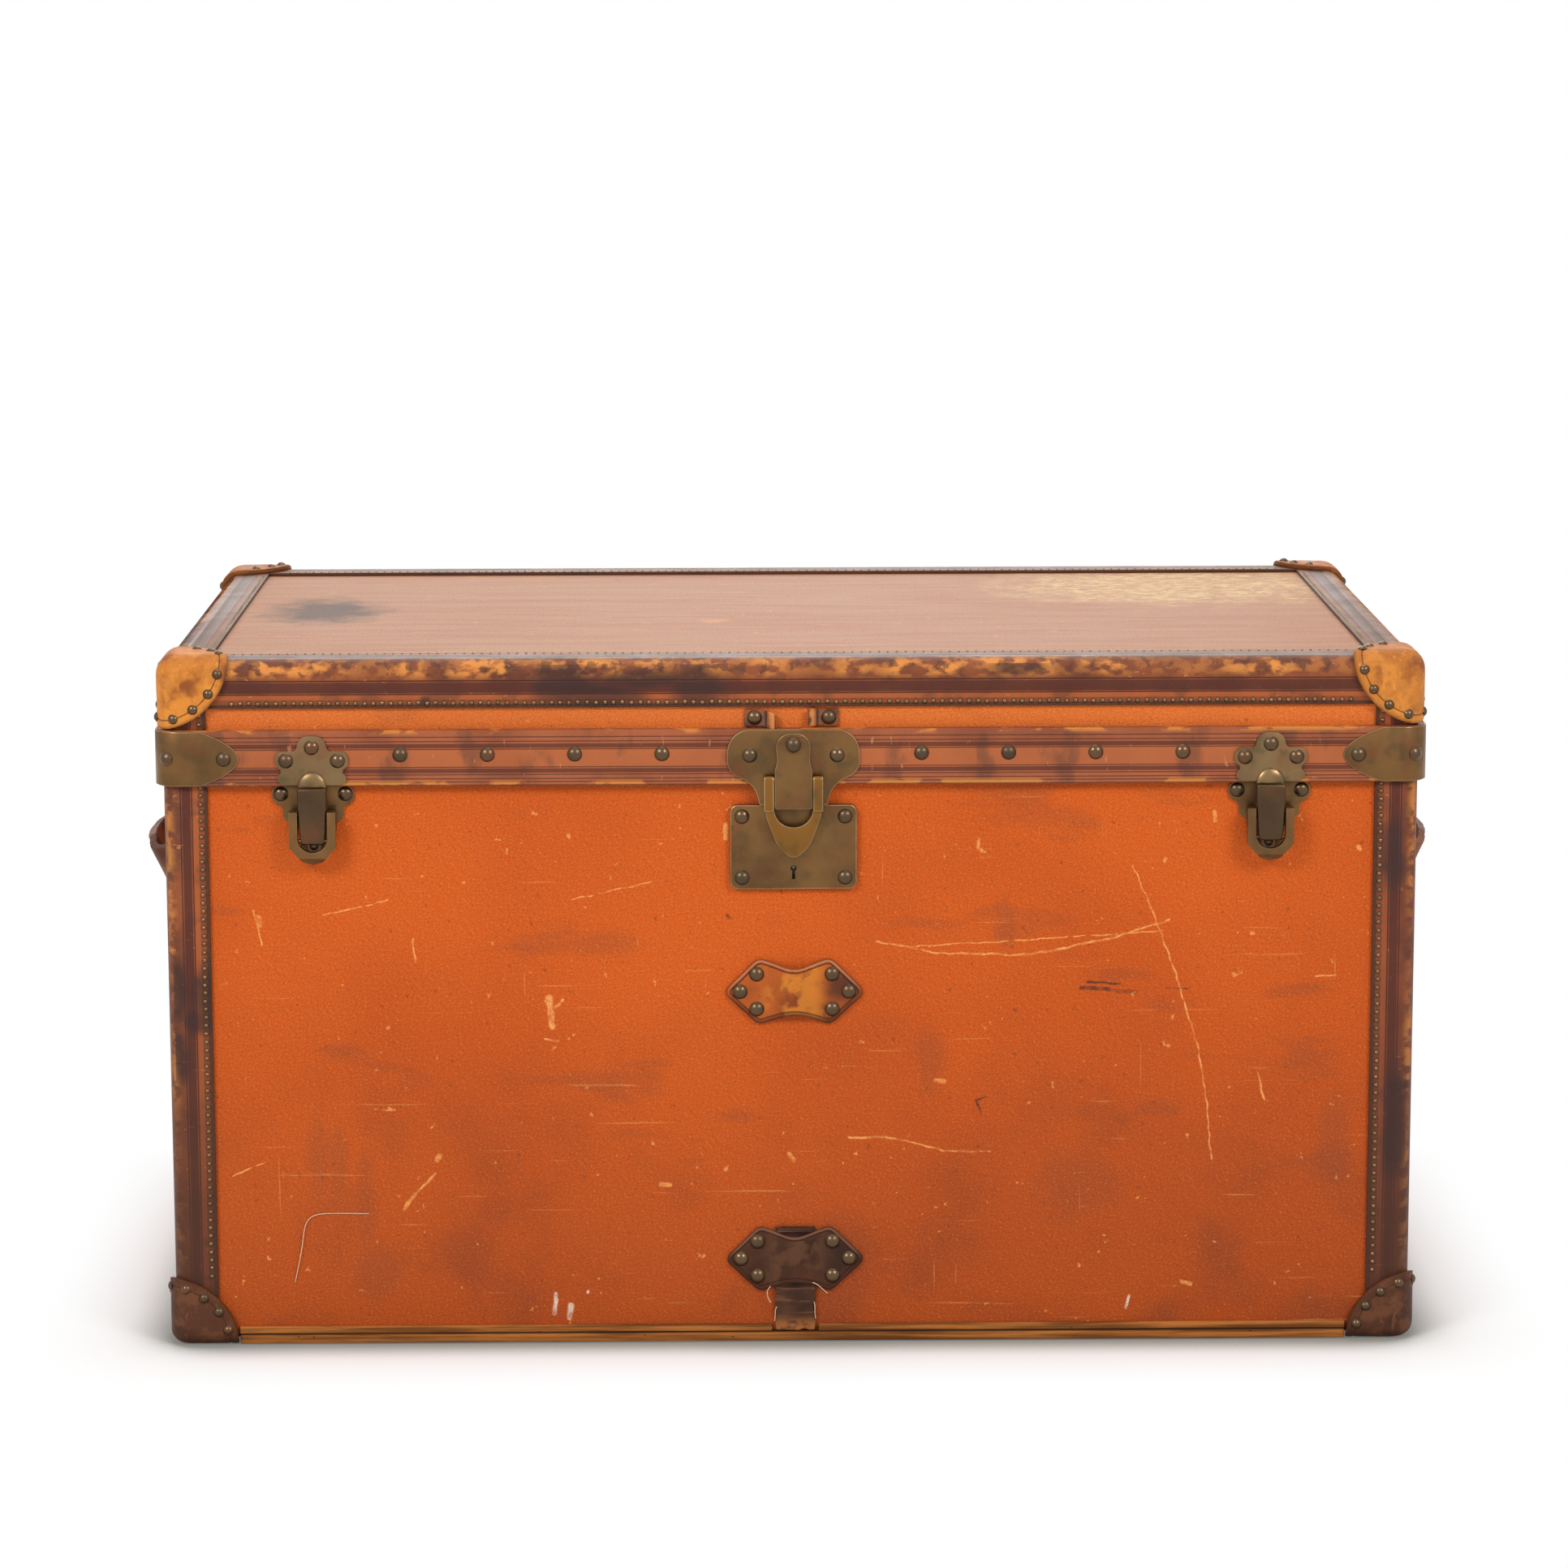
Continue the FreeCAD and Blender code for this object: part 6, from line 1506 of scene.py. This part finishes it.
class TRUNK_OT_clasps(TrunkPart):
    """Make the two side clasps: catches, bases, levers and fingers"""
    bl_idname = "trunk.clasps"
    bl_label = "Clasps"

    def execute(self, context):
        brass, catch, dark = "aged_brass", "catch_brass", "finger_brass"
        low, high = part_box("clasp_catches")
        face = high.y
        outline = rounded(both_ways([(0.0235, 0.4612, 0.0035), (0.0300, 0.4675, 0.0040),
                                     (0.0190, 0.4735, 0.0020), (0.0290, 0.4738, 0.0064),
                                     (0.0290, 0.4885, 0.0064), (0.0125, 0.4880, 0.0045),
                                     (0.0098, 0.5006, 0.0085)]), 6)
        right = plate("clasp_catch_right", outline, (CLASP_X, face, 0.0), 0.0020)
        worn_highlit_edges(right, 0.0005, catch)
        hood = primitive("uv_sphere", "clasp_hood", segments=24, ring_count=16, radius=1.0,
                         location=(CLASP_X, face - 0.0018, 0.4597), scale=(0.0116, 0.0037, 0.0122))
        edit(hood)
        bpy.ops.mesh.bisect(plane_co=(0, 0, 0.4598), plane_no=UP, clear_inner=True, use_fill=True)
        leave()
        worn_highlit_edges(hood, 0.0005, catch)
        right = joined([right, hood], "clasp_catch_right")
        finished(paired(right, "clasp_catch_brass"), "lid", brass, "brass", "clasp_catches")

        outline = rounded(both_ways([(0.0112, 0.3990, 0.0105), (0.0100, 0.4250, 0.0080),
                                     (0.0245, 0.4330, 0.0060), (0.0235, 0.4440, 0.0060),
                                     (0.0328, 0.4452, 0.0068), (0.0328, 0.4600, 0.0068)]), 6)
        right = plate("clasp_base_right", outline, (CLASP_X, CANVAS_LOW.y, 0.0), 0.0020)
        worn_highlit_edges(right, 0.0005, brass)
        lug = block("clasp_lug", (CLASP_X - 0.011, CANVAS_LOW.y - 0.0109, 0.4304),
                    (CLASP_X + 0.011, CANVAS_LOW.y, 0.4424))
        worn_highlit_edges(lug, 0.0015, brass, 3)
        right = joined([right, lug], "clasp_base_right")
        finished(paired(right, "clasp_base_brass"), "case", brass, "brass", "clasp_bases")
        dressed("clasp_pivot_pins", "clasp_pivot_brass", "case", brass, "brass", 0.0003)

        for side in ("left", "right"):
            lever = copied(f"clasp_lever_{side}", f"clasp_lever_{side}_brass")
            sliced(lever, UP, [0.4035, 0.4200])

            def thinned(at, normal):
                """The tip of the foot tapers towards the case."""
                return BACK * 0.0030 if at.z < 0.4030 and at.y < -0.299 else Vector()

            moulded(lever, thinned)
            worn_highlit_edges(lever, 0.0009, brass, 2, 25.0)
            finished(lever, f"clasp_lever_{side}", brass, "brass", f"clasp_lever_{side}")
            dressed(f"clasp_finger_pin_{side}", f"clasp_finger_pin_{side}_brass",
                    f"clasp_lever_{side}", brass, "brass", 0.0003)

            low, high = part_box(f"clasp_finger_{side}")
            finger = block(f"clasp_finger_{side}_brass", (low.x, low.y, low.z),
                           (high.x, low.y + 0.0032, high.z))
            sliced(finger, UP, [low.z + (high.z - low.z) * share / 8 for share in range(1, 8)])
            middle = (low.x + high.x) / 2

            def tapered(at, normal):
                share = (high.z - at.z) / (high.z - low.z)
                squeeze = 1.0 - 0.17 * max(0.0, share - 0.25) / 0.75
                tuck = max(0.0, share - 0.8) * 0.010
                return Vector(((at.x - middle) * (squeeze - 1.0), tuck, 0.0))

            moulded(finger, tapered)
            softened(finger, 0.0014, 3)
            finished(finger, f"clasp_finger_{side}", dark, "brass", f"clasp_finger_{side}")
        return {"FINISHED"}


class TRUNK_OT_patches(TrunkPart):
    """Make the two riveted leather patches"""
    bl_idname = "trunk.patches"
    bl_label = "Leather patches"

    def execute(self, context):
        bow_tie("upper_patch_leather", "patch_upper", UPPER_PATCH_Z, "upper_patch_leather", 0.0052,
                3.0)
        bow_tie("lower_patch_leather", "patch_lower", LOWER_PATCH_Z, "lower_patch_leather", 0.0054,
                7.0)
        return {"FINISHED"}


class TRUNK_OT_strap(TrunkPart):
    """Make the worn remnant of the strap, its loose threads and the torn tabs"""
    bl_idname = "trunk.strap"
    bl_label = "Strap remnant and tabs"

    def execute(self, context):
        low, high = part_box("strap_remnant")
        face = high.y
        strap = block("strap_remnant_leather", (low.x, face - 0.0034, low.z),
                      (high.x, face, high.z))
        roll = block("strap_roll", (low.x + 0.001, face - 0.0055, high.z - 0.0045),
                     (high.x - 0.0015, face - 0.0005, high.z))
        softened(roll, 0.0018, 3)
        piece = joined([strap, roll], "strap_remnant_leather")
        remeshed(piece, 0.0007, 2)
        middle = (low.x + high.x) / 2

        def frayed(at, normal):
            ragged = noise.noise(Vector((at.x * 160.0, 0.0, 4.0))) * 0.0016
            sides = noise.noise(Vector((2.0, 0.0, at.z * 150.0))) * 0.0007
            shift = normal * noise.noise(at * 150.0) * 0.00035
            if at.z < low.z + 0.004:
                shift.z += ragged
            shift.x += sides * (1 if at.x > middle else -1)
            return shift

        moulded(piece, frayed)
        finished(piece, "case", "strap_leather", "dark_leather", "strap_remnant")

        front = face - 0.0042
        loose = [((low.x - 0.004, front, 0.047), (low.x - 0.009, front - 0.001, 0.043),
                  (low.x - 0.007, front, 0.038), (low.x - 0.004, front - 0.001, 0.034)),
                 ((low.x + 0.001, front, 0.030), (low.x - 0.0015, front - 0.001, 0.027),
                  (low.x + 0.0005, front, 0.022), (low.x - 0.001, front, 0.018)),
                 ((high.x - 0.002, front, 0.050), (high.x + 0.003, front - 0.001, 0.049),
                  (high.x + 0.006, front, 0.044), (high.x + 0.010, front, 0.041)),
                 ((high.x - 0.001, front, 0.034), (high.x + 0.0008, front - 0.001, 0.030),
                  (high.x - 0.0012, front, 0.024), (high.x + 0.0005, front, 0.020)),]
        snag = CANVAS_LOW.y - 0.0007
        loose.append(((-0.342, snag, 0.1085), (-0.372, snag, 0.1090), (-0.389, snag, 0.1100),
                      (-0.3955, snag - 0.0008, 0.1000), (-0.3950, snag - 0.0015, 0.0860),
                      (-0.3985, snag - 0.0012, 0.0700), (-0.4025, snag, 0.0520)))
        threads = [thread(f"thread_{index}", points, 0.00035) for index,
                   points in enumerate(loose)]
        finished(joined(threads, "strap_threads"), "case", "linen_thread", "tape")

        low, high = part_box("torn_tabs")
        tabs = []
        for side in (-1, 1):
            outer = side * max(abs(low.x), abs(high.x))
            inner = side * (max(abs(low.x), abs(high.x)) - 0.0270)
            near_x, far_x = sorted((inner, outer))
            tab = block(f"torn_tab_{side}", (near_x, high.y - 0.0024, low.z),
                        (far_x, high.y, low.z + 0.0140))
            sliced(tab, RIGHT, [near_x + (far_x - near_x) * share / 12 for share in range(1, 12)])

            def curled(at, normal):
                """The free end by the middle lifts and curls forward, and droops a little."""
                share = clamped(1.0 - abs(at.x - inner) / 0.0135)
                lift = 0.0046 * share * share * (3 - 2 * share)
                droop = -0.0030 * share if side < 0 else 0.0012 * share
                return Vector((side * 0.0025 * share, -lift, droop))

            moulded(tab, curled)
            tabs.append(tab)
        piece = remeshed(joined(tabs, "torn_tab_leather"), 0.0006, 3)
        uneven(piece, 0.0006, 160.0)
        finished(piece, "lid", "torn_leather", "leather", "torn_tabs")
        return {"FINISHED"}


class TRUNK_OT_strips(TrunkPart):
    """Make the two bare wood strips along the foot of the front"""
    bl_idname = "trunk.strips"
    bl_label = "Bare wood strips"

    def execute(self, context):
        for node, seed in (("front_strip_low", 1.0), ("front_strip_high", 5.0)):
            piece = copied(node, node + "_wood")
            low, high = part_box(node)
            count = 70
            sliced(piece, RIGHT, [low.x + (high.x - low.x) * share / count
                                  for share in range(1, count)])

            def chipped(at, normal):
                if normal.y > -0.3:
                    return Vector()
                wave = noise.noise(Vector((at.x * 35.0, seed, at.z * 90.0)))
                chip = max(0.0, noise.noise(Vector((at.x * 12.0, seed + 9.0, 0.0))) - 0.45)
                return BACK * (abs(wave) * 0.0006 + chip * 0.004)

            moulded(piece, chipped)
            softened(piece, 0.0009)
            finished(piece, "case", "bare_wood", "wood", node)
        return {"FINISHED"}


class TRUNK_OT_handles(TrunkPart):
    """Make the two leather side handles with their stitching, and their brass fittings"""
    bl_idname = "trunk.handles"
    bl_label = "Side handles"

    def execute(self, context):
        dressed("handle_chapes", "handle_chape_brass", "case", "aged_brass", "brass", 0.0005)
        painted("handle_pins", "aged_brass")
        reach, grip, edge_drop = 0.029, 0.046, 0.0185
        for side, sign in (("right", 1), ("left", -1)):
            node = f"handle_{side}"
            piece = remeshed(copied(node, node + "_leather"), 0.0013, 3)
            pivot = Vector((sign * HANDLE_PIVOT[0], 0.0, HANDLE_PIVOT[1]))
            turn = Matrix.Rotation(sign * HANDLE_TILT, 4, "Y")

            def widened(at, normal):
                """The lower edge runs on straight; the upper one stays narrow, to swing free."""
                share = clamped((abs(at.y) - grip) / 0.034)
                local = turn.inverted() @ (at - pivot)
                if local.z < 0:
                    local.z *= (42.0 - 8.0 * share * share) / (42.0 - 21.0 * share)
                local.x *= 1.0 - 0.17 * min(1.0, abs(at.y) / grip) ** 2
                return pivot + turn @ local - at

            moulded(piece, widened)
            uneven(piece, 0.0005, 60.0)
            finished(piece, node, "handle_leather", "leather", node)
            rows = []
            for level in (edge_drop, -edge_drop):
                line = [Vector((sign * reach * (1.0 - 0.17 * (share / 5) ** 2), share * grip / 5,
                                level)) for share in range(-5, 6)]
                rows.append([pivot + turn @ point for point in line])
            outward = turn @ Vector((sign, 0.0, 0.0))
            made = [stitches(f"{node}_row_{index}", row, outward, 0.0044, 0.0012) for index,
                    row in enumerate(rows)]
            finished(joined(made, f"{node}_stitches"), node, "linen_thread", "tape", angle=60.0)
        return {"FINISHED"}


class TRUNK_OT_hinges(TrunkPart):
    """Finish the hinges at the back"""
    bl_idname = "trunk.hinges"
    bl_label = "Hinges"

    def execute(self, context):
        brass = "aged_brass"
        dressed("hinge_case_leaves", "hinge_case_brass", "case", brass, "brass", 0.0004)
        dressed("hinge_lid_leaves", "hinge_lid_brass", "lid", brass, "brass", 0.0004)
        dressed("hinge_pins", "hinge_pin_brass", "case", brass, "brass", 0.0004)
        return {"FINISHED"}


class TRUNK_OT_stays(TrunkPart):
    """Make the woven lid stays, shaped as they lie folded with the lid shut"""
    bl_idname = "trunk.stays"
    bl_label = "Lid stays"

    def execute(self, context):
        brass = "aged_brass"
        dressed("stay_case_plates", "stay_case_plate_brass", "case", brass, "brass", 0.0004)
        dressed("stay_lid_plates", "stay_lid_plate_brass", "lid", brass, "brass", 0.0004)
        for side in ("left", "right"):
            node = f"lid_stay_{side}"
            low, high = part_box(node)
            middle = (low.x + high.x) / 2
            start = Vector((middle, STAY_Y, STAY_LOW))
            end = Vector((middle, STAY_Y, STAY_HIGH))

            def opened(point, share):
                turn = Matrix.Rotation(-share * LID_OPENING, 3, "X")
                return HINGE_LINE + turn @ (point - HINGE_LINE)

            stretched_end = opened(end, 1.0)

            def weight(point):
                along = clamped((point.z - STAY_LOW) / (STAY_HIGH - STAY_LOW))
                return along * along * (3 - 2 * along)

            def folded(point):
                """Where a point of the taut tape lies when the lid is shut."""
                least, most = 0.0, 1.0
                for attempt in range(40):
                    share = (least + most) / 2
                    if weight(opened(point, -share)) > share:
                        least = share
                    else:
                        most = share
                return opened(point, -(least + most) / 2)

            run = stretched_end - start
            piece = primitive("grid", f"{node}_tape", x_subdivisions=60, y_subdivisions=4,
                              size=1.0)
            across = run.cross(RIGHT).normalized()
            for vertex in piece.data.vertices:
                flat_point = start + run * (vertex.co.x + 0.5) + across * vertex.co.y * STAY_WIDTH
                vertex.co = folded(flat_point)
            applied(piece, "SOLIDIFY", thickness=STAY_THICK, offset=0.0)
            piece.data.materials.append(material("woven_tape"))
            activate(piece)
            bpy.ops.object.shade_smooth_by_angle(angle=math.radians(60))
            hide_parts(node)
            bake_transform(piece)
        return {"FINISHED"}


class TRUNK_OT_stage(TrunkPart):
    """Lay the pale floor, hang the studio lamps and set the camera"""
    bl_idname = "trunk.stage"
    bl_label = "Studio"

    def execute(self, context):
        floor = primitive("circle", "studio_floor", vertices=64, radius=30.0, fill_type="NGON")
        t = new_material("studio_paper")
        # Painted shadow: the floor's colour darkens where the trunk shuts out its surroundings, a
        # contact shadow
        contact_shadow_occlusion = t.add("AmbientOcclusion", {"Distance": 0.07}).outputs["AO"]
        t.base = t.mix(t.step(contact_shadow_occlusion, 0.50, 0.95), (120, 114, 98), (244, 243, 241))
        t.finish(0.9)
        glow = t.add("Emission", {"Color": (1.0, 1.0, 1.0, 1.0), "Strength": 1.0})
        path = t.add("LightPath").outputs
        seen = t.maths("MAXIMUM", path["Is Camera Ray"], path["Is Glossy Ray"])
        outside = t.vectors("SUBTRACT", t.vectors("ABSOLUTE", t.here),
                            (HALF_WIDTH, HALF_DEPTH, 0.0))
        away = t.vectors("LENGTH", t.vectors("MAXIMUM", outside, (0.0, 0.0, 0.0)), out="Value")
        far = t.step(away, 0.0, 0.13)
        share = t.both(seen, t.maths("MULTIPLY_ADD", far, 0.85, 0.15))
        t.shown(share, t.shader, glow)
        floor.data.materials.append(material("studio_paper"))

        world = bpy.data.worlds.new("studio")
        context.scene.world = world
        world.use_nodes = True
        t = Shades(world.node_tree)
        light = t.tree.nodes["Background"]
        light.inputs["Color"].default_value = (1.0, 1.0, 1.0, 1.0)
        light.inputs["Strength"].default_value = 0.42
        backdrop = t.add("Background", {"Color": (1.0, 1.0, 1.0, 1.0), "Strength": 1.0})
        path = t.add("LightPath").outputs
        seen = t.maths("MAXIMUM", path["Is Camera Ray"],
                       t.maths("MAXIMUM", path["Is Glossy Ray"], path["Is Transmission Ray"]))
        t.shown(seen, light, backdrop)

        target = Vector((0.0, 0.0, 0.30))
        lamps = (("lamp_left", (-2.0, -2.6, 2.4), 1.1, 60.0),
                 ("lamp_right", (2.0, -2.6, 2.4), 1.1, 54.0),
                 ("lamp_top", (0.0, 0.4, 3.0), 2.0, 34.0),
                 ("lamp_back", (0.0, 3.0, 1.8), 1.8, 26.0))
        for name, at, size, power in lamps:
            data = bpy.data.lights.new(name, "AREA")
            data.size = size
            data.energy = power
            lamp = bpy.data.objects.new(name, data)
            context.scene.collection.objects.link(lamp)
            lamp.location = at
            lamp.rotation_euler = (target - Vector(at)).to_track_quat("-Z", "Y").to_euler()

        data = bpy.data.cameras.new("camera")
        data.sensor_width = 36.0
        data.lens = 112.12
        camera = bpy.data.objects.new("camera", data)
        context.scene.collection.objects.link(camera)
        pitch, yaw, roll = 0.171671, 0.011462, -0.002542
        place = Matrix.Translation((-0.050013, -4.115918, 1.122748))
        camera.matrix_world = (place @ Matrix.Rotation(-yaw, 4, "Z")
                               @ Matrix.Rotation(math.pi / 2 - pitch, 4, "X")
                               @ Matrix.Rotation(roll, 4, "Z"))
        context.scene.camera = camera
        context.scene.view_settings.view_transform = "Standard"
        return {"FINISHED"}


PARTS = (TRUNK_OT_materials, TRUNK_OT_box, TRUNK_OT_edging, TRUNK_OT_nails, TRUNK_OT_band,
         TRUNK_OT_caps, TRUNK_OT_rivets, TRUNK_OT_lock, TRUNK_OT_hasp, TRUNK_OT_clasps,
         TRUNK_OT_patches, TRUNK_OT_strap, TRUNK_OT_strips, TRUNK_OT_handles, TRUNK_OT_hinges,
         TRUNK_OT_stays, TRUNK_OT_stage)


class TRUNK_PT_panel(bpy.types.Panel):
    """Lists the trunk's pieces, sizes and colours in the sidebar"""
    bl_idname = "TRUNK_PT_panel"
    bl_label = "Travel trunk"
    bl_space_type = "VIEW_3D"
    bl_region_type = "UI"
    bl_category = "Trunk"

    def draw(self, context):
        column = self.layout.column()
        for part in PARTS:
            column.operator(part.bl_idname)
        for group in (context.scene.trunk_sizes, context.scene.trunk_colours):
            for key in group.__annotations__:
                column.prop(group, key)


CLASSES = (TrunkSizes, TrunkColours) + PARTS + (TRUNK_PT_panel,)


def register():
    for item in CLASSES:
        bpy.utils.register_class(item)
    bpy.types.Scene.trunk_sizes = PointerProperty(type=TrunkSizes)
    bpy.types.Scene.trunk_colours = PointerProperty(type=TrunkColours)


def unregister():
    del bpy.types.Scene.trunk_colours
    del bpy.types.Scene.trunk_sizes
    for item in reversed(CLASSES):
        bpy.utils.unregister_class(item)


def main():
    register()
    for part in PARTS:
        family, name = part.bl_idname.split(".")
        getattr(getattr(bpy.ops, family), name)()


if __name__ == "__main__":
    main()
